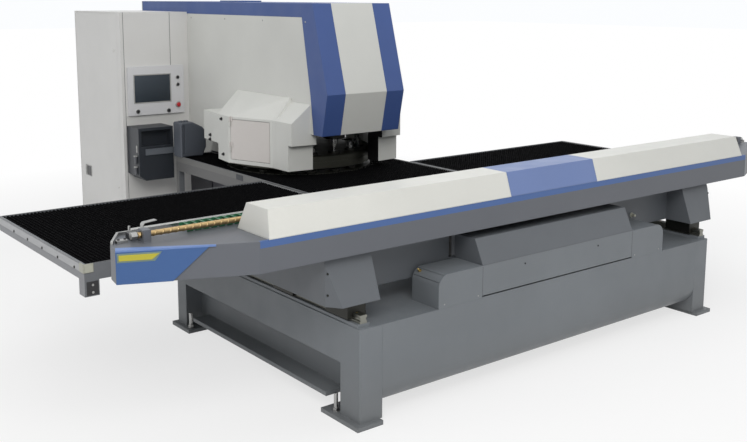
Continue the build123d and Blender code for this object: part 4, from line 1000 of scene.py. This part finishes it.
def screwRows(name, rows, kind, radius, height, pitch, coat, body):
    # rows: (first point, last point, facing)
    mesh = bpy.data.meshes.new(name + "Rows")
    points = [point for first, last, facing in rows for point in (first, last)]
    mesh.from_pydata(points, [(start, start + 1) for start in range(0, len(points), 2)], [])
    attribute = mesh.attributes.new("facing", "FLOAT_VECTOR", "POINT")
    attribute.data.foreach_set("vector", [value for row in rows for value in row[2] * 2])
    head = screwHead(kind, radius, height)
    piece = runTree(name, rowTree, {"Material": materials[coat], "Head": head, "Pitch": pitch}, mesh)
    bpy.data.objects.remove(head)
    settle(piece, body, "machined_steel")


def seatedPieces(name, node, spots, direction, profile, coat, body, steps=12):
    # Turned heads, each seated on the node's own surface where a line along the direction meets it
    mesh = nodes[node].data
    surface = BVHTree.FromPolygons([corner.co.copy() for corner in mesh.vertices],
                                   [tuple(face.vertices) for face in mesh.polygons])
    direction = Vector(direction)
    work = bmesh.new()
    for spot in spots:
        place, facing, index, distance = surface.ray_cast(Vector(spot) - direction * 2, direction)
        addTurned(work, profile, place, facing, steps)
    settle(meshFrom(name, work, [coat]), body, "machined_steel")


button = {"kind": "button", "coat": "machinedSteel", "body": "machine"}
screwLooks = {
    "hoodScrews": {**button, "radius": 0.006, "height": 0.004, "pitch": 0.672, "coat": "buttonBlack"},
    "housingScrews": {**button, "radius": 0.0045, "height": 0.003, "pitch": 0.26},
    "panelScrews": {**button, "radius": 0.007, "height": 0.0035, "pitch": 0.61},
    "rearScrews": {**button, "radius": 0.008, "height": 0.004, "pitch": 0.338},
    "coverScrews": {**button, "radius": 0.006, "height": 0.003, "pitch": 0.5, "body": "y_carriage"},
    "railBolts": {"kind": "socket", "radius": 0.007, "height": 0.0006, "pitch": 0.095, "coat": "brass",
                  "body": "machine"},
    "tableBolts": {"kind": "socket", "radius": 0.008, "height": 0.003, "pitch": 0.244, "coat": "darkSteel",
                   "body": "y_carriage"},
}
rowPlaces = {
    "hood": {"x": (-0.336, 0.336), "z": 0.690},
    "housing": {"x": ((-0.98, -0.72), (0.72, 0.98)), "z": 0.565},
    "panel": ((-1, 1.28, 1.53, 0.93), (-1, -0.33, 1.50, 2.06),  # side, first and last y, z
              (1, -0.33, 2.47, 2.06), (1, 1.25, 2.47, 0.12)),
    "rear": {"inset": 0.03, "z": (0.12, 0.8, 1.45, 2.16)},
    "cover": {"x": ((-2.0, -0.5), (0.5, 2.0)), "z": 1.105, "inset": 0.006, "facing": (0, 1, 0.3)},
    "rail": {"x": 1.525, "y": (-2.50, -0.60), "z": 0.610},
}
seats = {
    "legScrewsLeft": {"node": "underframe", "spots": [(-1.699, -2.483, 0.844), (-1.699, -2.483, 0.730)],
                      "direction": (0.8, 0.59, 0), "coat": "darkSteel", "body": "y_carriage",
                      "profile": [(sunk, 0), (sunk, 0.0063), (0.002, 0.0063), (0.005, 0.0042),
                                  (0.005, 0.0021), (0.002, 0.0021), (0.002, 0)]},
    "coverLatches": {"node": "turret_cover_left", "direction": (1, 0, 0), "coat": "buttonBlack",
                     "body": "machine",
                     "spots": [(0, 0.700, 1.108), (0, 0.705, 1.070), (0, 0.448, 1.270), (0, 0.417, 0.985)],
                     "profile": [(sunk, 0), (sunk, 0.014), (0.006, 0.014), (0.006, 0.009), (0.016, 0.010),
                                 (0.018, 0.008), (0.018, 0)], "steps": 16},
    "housingFitting": {"node": "y_drive_housing", "spots": [(-0.999, -2.400, 0.5)], "direction": (0, 0, -1),
                       "coat": "brass", "body": "machine",
                       "profile": [(sunk, 0), (sunk, 0.010), (0.010, 0.010), (0.010, 0.006), (0.024, 0.006),
                                   (0.027, 0.004), (0.027, 0)], "steps": 6},
    "webSensor": {"node": "underframe", "spots": [(1.0, -2.5, 0.752)], "direction": (0, 1, 0),
                  "coat": "capCream", "body": "y_carriage",
                  "profile": [(sunk, 0), (sunk, 0.018), (0.004, 0.018), (0.006, 0.010), (0.030, 0.010),
                              (0.032, 0.008), (0.032, 0)], "steps": 16},
}


def levelRow(first, last, y, z, facing):
    # A row of screws along X
    return (first, y, z), (last, y, z), facing


def fasteners():
    hood, housing, cover, rear, rail = [
        rowPlaces[name] for name in ("hood", "housing", "cover", "rear", "rail")]
    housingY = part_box("y_drive_housing")[0].y
    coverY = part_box("beam_cover_left")[1].y - cover["inset"]
    wall = -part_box("side_panel_left")[0].x
    low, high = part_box("rear_cover")
    rows = {
        "hoodScrews": [levelRow(*hood["x"], housingY, hood["z"], (0, -1, 0))],
        "housingScrews": [levelRow(*ends, housingY, housing["z"], (0, -1, 0)) for ends in housing["x"]],
        "panelScrews": [((side * wall, first, z), (side * wall, last, z), (side, 0, 0))
                        for side, first, last, z in rowPlaces["panel"]],
        "rearScrews": [levelRow(low.x + rear["inset"], high.x - rear["inset"], high.y, z, (0, 1, 0))
                       for z in rear["z"]],
        "coverScrews": [levelRow(*ends, coverY, cover["z"], cover["facing"]) for ends in cover["x"]],
    }
    for name, lines in rows.items():
        screwRows(name, lines, **screwLooks[name])
    left = seats["legScrewsLeft"]
    mirrored = {"spots": [(-x, y, z) for x, y, z in left["spots"]],
                "direction": (-left["direction"][0], *left["direction"][1:])}
    seatedPieces("legScrewsLeft", **left)
    seatedPieces("legScrewsRight", **{**left, **mirrored})
    for name in ("coverLatches", "housingFitting", "webSensor"):
        seatedPieces(name, **seats[name])
    screwRows("railBolts", [(*[(side * rail["x"], y, rail["z"]) for y in rail["y"]], (0, 0, 1))
                            for side in (-1, 1)], **screwLooks["railBolts"])


rowTree = screwRowTree()
fasteners()
print("fasteners done")


# Painted end stripes on the beam's swept-back ends, and above them a lip in lighter blue, a painted
# highlight along the top edge
endSettings = {"fold": (2.117, -2.516), "tip": (2.735, -2.252), "low": 1.030, "high": 1.074, "length": 0.178,
               "slant": 0.034, "border": 0.008, "borderStop": 1.6, "lift": 0.0084, "layer": 0.0008,
               "thick": 0.0012, "tipGap": 0.006, "lipStart": 0.21, "lipTip": 0.045, "lipBack": 0.001,
               "lipZ": (1.0805, 1.0895)}


def endStripes():
    fold, tip = Vector(endSettings["fold"]), Vector(endSettings["tip"])
    along = (tip - fold).normalized()
    out = Vector((along.y, -along.x))
    length = (tip - fold).length
    lift = endSettings["lift"]

    def onEnd(side, distance, depth):
        place = fold + along * distance + out * depth
        return side * place.x, place.y

    work = bmesh.new()
    for side in (-1, 1):
        for layer, inset in enumerate((0.0, endSettings["border"])):
            start = length - endSettings["tipGap"] - inset
            stop = length - endSettings["length"] + inset * endSettings["borderStop"]
            low, high = endSettings["low"] + inset, endSettings["high"] - inset
            outline = ((start, low), (start, high), (stop - endSettings["slant"], high), (stop, low))
            face = lift + layer * endSettings["layer"]
            front, back = [[(*onEnd(side, distance, depth), z) for distance, z in outline]
                           for depth in (face, face - endSettings["thick"])]
            addLoft(work, front, back, layer)
        # The lip takes the lighter blue: a painted highlight along the top edge
        lip = ((endSettings["lipStart"], lift), (length, lift), (length, -endSettings["lipTip"]),
               (endSettings["lipStart"], -endSettings["lipBack"]))
        addPlate(work, [onEnd(side, distance, depth) for distance, depth in lip], *endSettings["lipZ"], 2)
    settle(meshFrom("endStripes", work, ["stripeBorder", "stripeYellow", "edgeBlue"]), "y_carriage",
           "head_blue")


endStripes()


# Operator controls: the screen's frame, a ring round each control, and the smooth controls
frameSettings = {"rim": 0.009, "front": 0.0025, "back": 0.001}
ringSettings = {"back": 0.0005, "edge": 0.0015, "front": 0.0028, "bevel": 0.002}
buttonShape = [(0.016, 0), (0.016, 0.008), (-0.005, 0.008), (-0.005, 0.0138), (-0.012, 0.0138),
               (-0.014, 0.012), (-0.0135, 0.010), (-0.0125, 0)]
knobShape = [(0.020, 0), (0.020, 0.0078), (-0.0003, 0.0078), (-0.0003, 0.016), (-0.012, 0.0150),
             (-0.018, 0.0135), (-0.018, 0)]
blackControl = {"coat": "buttonBlack", "slot": "button_black"}
pushButton = {"ring": 0.018, "bore": 0.0146, "profile": buttonShape, **blackControl}
turnKnob = {"ring": 0.020, "bore": 0.0095, "profile": knobShape, "grip": (0.003, 0.0138, 0.017, 0.024),
            **blackControl}
controls = {
    "emergencyStop": {"node": "estop_button", "body": "estop", "ring": 0.027, "bore": 0.0206,
                      "coat": "buttonRed", "slot": "button_red",
                      "profile": [(0.016, 0), (0.016, 0.008), (-0.008, 0.008), (-0.008, 0.0175),
                                  (-0.011, 0.0198), (-0.016, 0.0195), (-0.020, 0.0165), (-0.022, 0.011),
                                  (-0.022, 0)]},
    "startButton": {"node": "start_button", "body": "start_button", **pushButton},
    "stopButton": {"node": "stop_button", "body": "stop_button", **pushButton},
    "modeKnob": {"node": "mode_knob", "body": "mode_knob", **turnKnob},
    "feedKnob": {"node": "feed_knob", "body": "feed_knob", **turnKnob},
}


def panelBezels(face):
    low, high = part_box("operator_screen")
    rim, front, back = [frameSettings[size] for size in ("rim", "front", "back")]
    work = bmesh.new()
    for left, bottom, right, top in ((low.x - rim, low.z - rim, high.x + rim, low.z),
                                     (low.x - rim, high.z, high.x + rim, high.z + rim),
                                     (low.x - rim, low.z, low.x, high.z),
                                     (high.x, low.z, high.x + rim, high.z)):
        addBlock(work, (left, face - front, bottom), (right, face + back, top))
    back, edge, front, bevel = [ringSettings[size] for size in ("back", "edge", "front", "bevel")]
    for control in controls.values():
        centre = middle(control["node"])
        radius, bore = control["ring"], control["bore"]
        addTurned(work, [(back, bore), (back, radius), (-edge, radius), (-front, radius - bevel),
                         (-front, bore), (back, bore)], (centre.x, face, centre.z), (0, 1, 0), slot=1)
    settle(meshFrom("panelBezels", work, ["devicePlastic", "machinedSteel"], merge=True), "machine",
           "device_plastic")


def operatorControls():
    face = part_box("operator_panel")[0].y
    panelBezels(face)
    for name, control in controls.items():
        centre = middle(control["node"])
        work = bmesh.new()
        addTurned(work, control["profile"], (centre.x, face, centre.z), (0, 1, 0), steps=36)
        if "grip" in control:
            halfWide, halfHigh, back, front = control["grip"]
            addBlock(work, (centre.x - halfWide, face - front, centre.z - halfHigh),
                     (centre.x + halfWide, face - back, centre.z + halfHigh), rounding=0.0015)
        settle(meshFrom(name, work, [control["coat"]]), control["body"], control["slot"], control["node"])


operatorControls()


# Levelling bolts: threaded stud, nut and washer through each foot
levellingSettings = {"stud": 0.0117, "studTip": 0.0098, "tipLength": 0.002, "turns": 26, "threadLow": 0.046,
                     "lead": 0.003, "root": 0.0112, "crest": 0.0121, "washer": 0.0195,
                     "washerZ": (0.025, 0.028), "nutHalf": (0.020, 0.0173),
                     "nut": [(0.028, 0), (0.028, 0.0192), (0.043, 0.0192), (0.045, 0.0168), (0.045, 0)]}


def levellingBolts():
    low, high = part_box("leveling_bolts")
    top, stud = high.z, levellingSettings["stud"]
    lead, root, crest = [levellingSettings[size] for size in ("lead", "root", "crest")]
    insetX, insetY = levellingSettings["nutHalf"]
    work = bmesh.new()
    for x in (low.x + insetX, high.x - insetX):
        for y in (low.y + insetY, high.y - insetY):
            place = (x, y, 0)
            addTurned(work, [(0, 0), (0, stud), (top - levellingSettings["tipLength"], stud),
                             (top, levellingSettings["studTip"]), (top, 0)], place, steps=24)
            for turn in range(levellingSettings["turns"]):
                z = levellingSettings["threadLow"] + turn * lead
                addTurned(work, [(z, root), (z + lead / 2, crest), (z + lead, root)], place, steps=24)
            addTurned(work, rod(*levellingSettings["washerZ"], levellingSettings["washer"]), place)
            addTurned(work, levellingSettings["nut"], place, steps=6)
    settle(meshFrom("levellingBolts", work, ["machinedSteel"]), "machine", "machined_steel",
           "leveling_bolts")


levellingBolts()
print("controls and bolts done")


# Trim on the moving tables: edge strips, corner caps, bolts into the profile, the open channel in front
trimSettings = {"strip": (0.829, 0.873), "thick": 0.005, "cap": (0.829, 0.8775), "capLength": 0.050,
                "capLift": 0.007, "frontGap": 0.012, "boltZ": 0.8385, "boltY": (-0.57, -1.546),
                "channelX": (0.074, 0.010), "channelTop": 0.780, "channelLift": 0.006, "hexX": 0.042,
                "hexLift": 0.022, "hexTop": 0.762, "hex": rod(-0.001, 0.006, 0.007)}


def tableTrim():
    low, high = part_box("wing_tables")
    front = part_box("wing_brushes")[0].y - trimSettings["frontGap"]
    stripLow, stripHigh = trimSettings["strip"]
    capLow, capHigh = trimSettings["cap"]
    bolts = []
    work = bmesh.new()
    for side in (-1, 1):
        face = side * high.x
        outside = face + side * trimSettings["thick"]
        addBlock(work, (face - side * 0.001, front + 0.052, stripLow), (outside, high.y - 0.004, stripHigh),
                 rounding=0.0015)
        addBlock(work, (face - side * 0.002, front - 0.005, capLow),
                 (face + side * trimSettings["capLift"], front + trimSettings["capLength"], capHigh), 1,
                 0.002)
        addBlock(work, (face - side * trimSettings["capLength"], front - 0.005, capLow),
                 (face + side * 0.001, front + 0.001, capHigh), 1, 0.002)
        bolts.append((*[(outside, y, trimSettings["boltZ"]) for y in trimSettings["boltY"]], (side, 0, 0)))
        outer, inner = [face - side * reach for reach in trimSettings["channelX"]]
        addBlock(work, (outer, front - 0.0015, low.z + trimSettings["channelLift"]),
                 (inner, front + 0.002, trimSettings["channelTop"]), 2, 0.0008)
        for z in (low.z + trimSettings["hexLift"], trimSettings["hexTop"]):
            addTurned(work, trimSettings["hex"], (face - side * trimSettings["hexX"], front - 0.001, z),
                      (0, -1, 0), 6, 3)
    coats = ["tableRail", "capCream", "buttonBlack", "machinedSteel"]
    settle(meshFrom("tableTrim", work, coats), "y_carriage", "table_aluminium")
    screwRows("tableBolts", bolts, **screwLooks["tableBolts"])


tableTrim()


# Small parts on the beam's ends, the same at both: rail edge strip, limit switch, screw end, stop and flag
fittings = {
    "corner": (2.615, -1.987), "rear": (2.719, -2.157), "railGap": 0.002, "railY": -1.990, "strip": 0.014,
    "stripTop": 0.018, "tip": 0.012,
    "blocks": [  # low and high corners above the beam's top, coat, rounding
        ((2.560, -2.120, -0.001), (2.600, -2.060, 0.030), 1, 0.002),
        ((2.545, -2.094, 0.020), (2.562, -2.086, 0.028), 0, 0.001),
        ((2.625, -2.150, -0.001), (2.680, -2.120, 0.016), 0, 0.002),
        ((2.552, -1.999, 0.017), (2.545, -1.981, 0.040), 0, 0.001)],
    "turned": [  # profile, place above the beam's top, axis, steps, coat
        (rod(-0.004, 0.004, 0.011), (2.545, -2.090, 0.024), (1, 0, 0), 20, 0),
        (rod(-0.016, 0.014, 0.019), (2.606, -2.170, 0.034), (1, 0, 0), 6, 0),
        ([(0, 0), (0, 0.0065), (0.006, 0.006), (0.006, 0)], (2.636, -2.135, 0.0155), (0, 0, 1), 12, 1),
        ([(0, 0), (0, 0.0065), (0.006, 0.006), (0.006, 0)], (2.668, -2.135, 0.0155), (0, 0, 1), 12, 1)],
    "flag": [(2.480, 0.018), (2.480, 0.036), (2.472, 0.046), (2.405, 0.052), (2.405, 0.049), (2.471, 0.043),
             (2.477, 0.035), (2.477, 0.018)],
    "flagY": (-2.003, -1.967),
}


def beamEndFittings():
    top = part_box("cable_carrier")[0].z
    corner, rear = Vector(fittings["corner"]), Vector(fittings["rear"])
    inner = Vector((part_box("x_rails")[1].x + fittings["railGap"], fittings["railY"]))
    run = (rear - corner).normalized()
    inward = Vector((run.y, -run.x))
    tip = rear - run * fittings["tip"]
    strip = [inner, corner + run * 0.004, tip, tip + inward * fittings["tip"],
             corner + Vector((-0.006, -fittings["strip"])), inner + Vector((0, -fittings["strip"]))]
    work = bmesh.new()
    for side in (-1, 1):
        addPlate(work, [(side * x, y) for x, y in strip], top - 0.001, top + fittings["stripTop"])
        for low, high, slot, rounding in fittings["blocks"]:
            addBlock(work, (side * low[0], low[1], top + low[2]), (side * high[0], high[1], top + high[2]),
                     slot, rounding)
        for profile, (x, y, z), axis, steps, slot in fittings["turned"]:
            addTurned(work, profile, (side * x, y, top + z), axis, steps, slot)
        front, back = [[(side * x, y, top + z) for x, z in fittings["flag"]] for y in fittings["flagY"]]
        addLoft(work, front, back)
    settle(meshFrom("beamEndFittings", work, ["machinedSteel", "buttonBlack"]), "y_carriage",
           "machined_steel")


beamEndFittings()


# Dark joint lines: cabinet front, drive housing, and the cover plates on the centre table's rails; the
# cabinet front's line near its outer corner is a painted shadow along the front panel's fold
lineSettings = {"cabinetX": (-0.985, -0.543), "cabinetLow": 0.10, "cabinetHalf": 0.0018,
                "cabinetY": (0.0008, 0.0028), "cabinetTop": 0.001, "housingX": 0.686, "housingHalf": 0.001,
                "housingY": (-0.0003, 0.001), "housingZ": (0.004, 0.006), "plateY": (0.045, 0.150),
                "plateZ": (0.822, 0.866), "plateHalf": 0.0015}


def jointLines():
    cabinetLow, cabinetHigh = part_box("control_cabinet")
    housingLow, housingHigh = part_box("y_drive_housing")
    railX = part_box("center_table_frame")[1].x
    work = bmesh.new()
    front, back = [cabinetLow.y + depth for depth in lineSettings["cabinetY"]]
    half = lineSettings["cabinetHalf"]
    # The first cabinet line, near the corner, is a painted shadow along the front panel's fold; the second
    # is the seam above the operator panel
    for x, start in zip(lineSettings["cabinetX"],
                        (lineSettings["cabinetLow"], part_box("operator_panel")[1].z)):
        addBlock(work, (x - half, front, start),
                 (x + half, back, cabinetHigh.z - lineSettings["cabinetTop"]))
    front, back = [housingLow.y + depth for depth in lineSettings["housingY"]]
    half, plateHalf = lineSettings["housingHalf"], lineSettings["plateHalf"]
    lowGap, highGap = lineSettings["housingZ"]
    (plateFront, plateBack), (plateLow, plateHigh) = lineSettings["plateY"], lineSettings["plateZ"]
    for side in (-1, 1):
        x = side * lineSettings["housingX"]
        addBlock(work, (x - half, front, housingLow.z + lowGap), (x + half, back, housingHigh.z - highGap))
        x = side * railX
        addBlock(work, (x - plateHalf, plateFront, plateLow), (x + plateHalf, plateBack, plateHigh),
                 rounding=0.0008)
    settle(meshFrom("jointLines", work, ["darkBox"]), "machine", "dark_box")


jointLines()


# Swing handle on the cabinet's side door
handleSettings = {"y": (2.350, 2.490), "z": (0.548, 0.652), "doorGap": 0.006,
                  "insets": ((0.010, 0.052), (0.058, 0.098)), "insetEdge": 0.008, "grip": (0.034, 0.010),
                  "gripEdge": 0.012}


def doorHandle():
    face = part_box("cabinet_door")[0].x + handleSettings["doorGap"]
    (front, back), (low, high) = handleSettings["y"], handleSettings["z"]
    gripFront, gripBack = [back - reach for reach in handleSettings["grip"]]
    edge, gripEdge = handleSettings["insetEdge"], handleSettings["gripEdge"]
    work = bmesh.new()
    addBlock(work, (face - 0.004, front, low), (face + 0.001, back, high), 0, 0.0015)
    for first, last in handleSettings["insets"]:
        addBlock(work, (face - 0.0055, front + first, low + edge), (face - 0.003, front + last, high - edge),
                 1, 0.001)
    addBlock(work, (face - 0.010, gripFront, low + gripEdge), (face - 0.003, gripBack, high - gripEdge), 0,
             0.003)
    settle(meshFrom("doorHandle", work, ["devicePlastic", "buttonBlack"]), "cabinet_door", "device_plastic")


doorHandle()


# Two filter bowls and a valve on the air unit's side
airSettings = {"out": 0.0125, "bowls": ((0.700, 0.772), (0.792, 0.868)), "bowlY": 1.395, "valveY": 1.362,
               "clamp": (0.0125, 0.0135, 0.015), "clampZ": (-0.004, 0.006),
               "valve": [(0.905, 0), (0.905, 0.006), (0.962, 0.006), (0.966, 0.004), (0.966, 0)]}


def airRegulators():
    x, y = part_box("air_unit_box")[0].x - airSettings["out"], airSettings["bowlY"]
    outX, inX, halfY = airSettings["clamp"]
    clampLow, clampHigh = airSettings["clampZ"]
    work = bmesh.new()
    for low, high in airSettings["bowls"]:
        addTurned(work, [(low, 0), (low, 0.004), (low + 0.006, 0.010), (high - 0.022, 0.0125),
                         (high - 0.022, 0.0118), (high - 0.006, 0.0122), (high, 0.008), (high, 0)],
                  (x, y, 0), steps=24)
        addBlock(work, (x - outX, y - halfY, high + clampLow), (x + inX, y + halfY, high + clampHigh), 1,
                 0.002)
    addTurned(work, airSettings["valve"], (x, airSettings["valveY"], 0), steps=16, slot=1)
    settle(meshFrom("airRegulators", work, ["regulatorGray", "devicePlastic"]), "machine", "dark_box")


airRegulators()
print("trim and small parts done")


# Floor, light and camera
stageSettings = {"reach": 60, "near": 3.0, "far": 6.0, "glow": 0.70, "world": 0.43,
                 "sky": (0.97, 0.985, 1.0), "floor": (0.86, 0.86, 0.86), "floorDark": (0.84, 0.84, 0.84),
                 "floorLight": (0.88, 0.88, 0.88)}
lamps = {
    "keyLight": {"place": (-5.0, -7.5, 6.5), "aim": (0, 0, 0.9), "size": (6, 4), "power": 400,
                 "colour": (1.0, 0.985, 0.96)},
    "topLight": {"place": (1.0, -1.0, 7.5), "aim": (0, 0, 0), "size": (8, 8), "power": 195,
                 "colour": (1, 1, 1)},
    "sideFill": {"place": (-7.0, 3.0, 3.0), "aim": (-1.0, 1.2, 1.1), "size": (4, 3), "power": 42,
                 "colour": (1, 1, 1)},
}
cameraSettings = {"place": (-4.448, -6.360, 2.250), "yaw": 38.15, "pitch": 8.88, "roll": 0.19, "lens": 46.14,
                  "sensor": 36, "shiftY": -0.10, "clipEnd": 200}


def directView(tree):
    # One for what the camera sees straight, in gloss or through glass
    path = tree.nodes.new("ShaderNodeLightPath")
    seen = calculate(tree, "MAXIMUM", path.outputs["Is Camera Ray"], path.outputs["Is Glossy Ray"])
    return calculate(tree, "MAXIMUM", seen, path.outputs["Is Transmission Ray"])


def studioFloor():
    reach = stageSettings["reach"]
    mesh = bpy.data.meshes.new("studioFloor")
    corners = [(-reach, -reach, 0), (reach, -reach, 0), (reach, reach, 0), (-reach, reach, 0)]
    mesh.from_pydata(corners, [], [(0, 1, 2, 3)])
    floor = newObject("studioFloor", mesh)
    material, tree, shader = startMaterial("studioFloor", stageSettings["floor"], 0.9)
    vector = coordinates(tree)
    tint = ramp(tree, noise(tree, vector, patternScale["floor"]), 0.2, 0.8, stageSettings["floorDark"],
                stageSettings["floorLight"])
    tree.links.new(tint, shader.inputs["Base Color"])
    shader.inputs["Specular IOR Level"].default_value = 0.1
    # Seen directly or in metal, the floor turns white away from the object and keeps the shadow under it
    glow = tree.nodes.new("ShaderNodeEmission")
    mixed = tree.nodes.new("ShaderNodeMixShader")
    away = tree.nodes.new("ShaderNodeVectorMath")
    away.operation = "LENGTH"
    tree.links.new(vector, away.inputs[0])
    share = remap(tree, away.outputs["Value"], stageSettings["near"], stageSettings["far"],
                  stageSettings["glow"], 1.0)
    tree.links.new(calculate(tree, "MULTIPLY", directView(tree), share), mixed.inputs[0])
    tree.links.new(shader.outputs["BSDF"], mixed.inputs[1])
    tree.links.new(glow.outputs["Emission"], mixed.inputs[2])
    tree.links.new(mixed.outputs["Shader"], tree.nodes["Material Output"].inputs["Surface"])
    mesh.materials.append(material)


def studioWorld():
    world = bpy.data.worlds.new("studio")
    bpy.context.scene.world = world
    world.use_nodes = True
    tree = world.node_tree
    background = tree.nodes["Background"]
    background.inputs["Color"].default_value = (*stageSettings["sky"], 1)
    strength = remap(tree, directView(tree), 0.0, 1.0, stageSettings["world"], 1.0)
    tree.links.new(strength, background.inputs["Strength"])


def studioLamps():
    for name, lamp in lamps.items():
        light = bpy.data.lights.new(name, "AREA")
        light.shape = "RECTANGLE"
        light.size, light.size_y = lamp["size"]
        light.energy = lamp["power"]
        light.color = lamp["colour"]
        holder = newObject(name, light)
        holder.location = lamp["place"]
        aim = Vector(lamp["aim"]) - Vector(lamp["place"])
        holder.rotation_euler = aim.to_track_quat("-Z", "Y").to_euler()


def photoCamera():
    camera = bpy.data.cameras.new("photoCamera")
    camera.lens = cameraSettings["lens"]
    camera.sensor_width = cameraSettings["sensor"]
    camera.shift_y = cameraSettings["shiftY"]
    camera.clip_end = cameraSettings["clipEnd"]
    holder = newObject("photoCamera", camera)
    holder.location = cameraSettings["place"]
    turned = Matrix.Rotation(radians(-cameraSettings["yaw"]), 4, "Z")
    turned = turned @ Matrix.Rotation(radians(90 - cameraSettings["pitch"]), 4, "X")
    turned = turned @ Matrix.Rotation(radians(cameraSettings["roll"]), 4, "Z")
    holder.rotation_euler = turned.to_euler()
    bpy.context.scene.camera = holder


studioFloor()
studioWorld()
studioLamps()
photoCamera()
bpy.context.scene.view_settings.view_transform = "Standard"
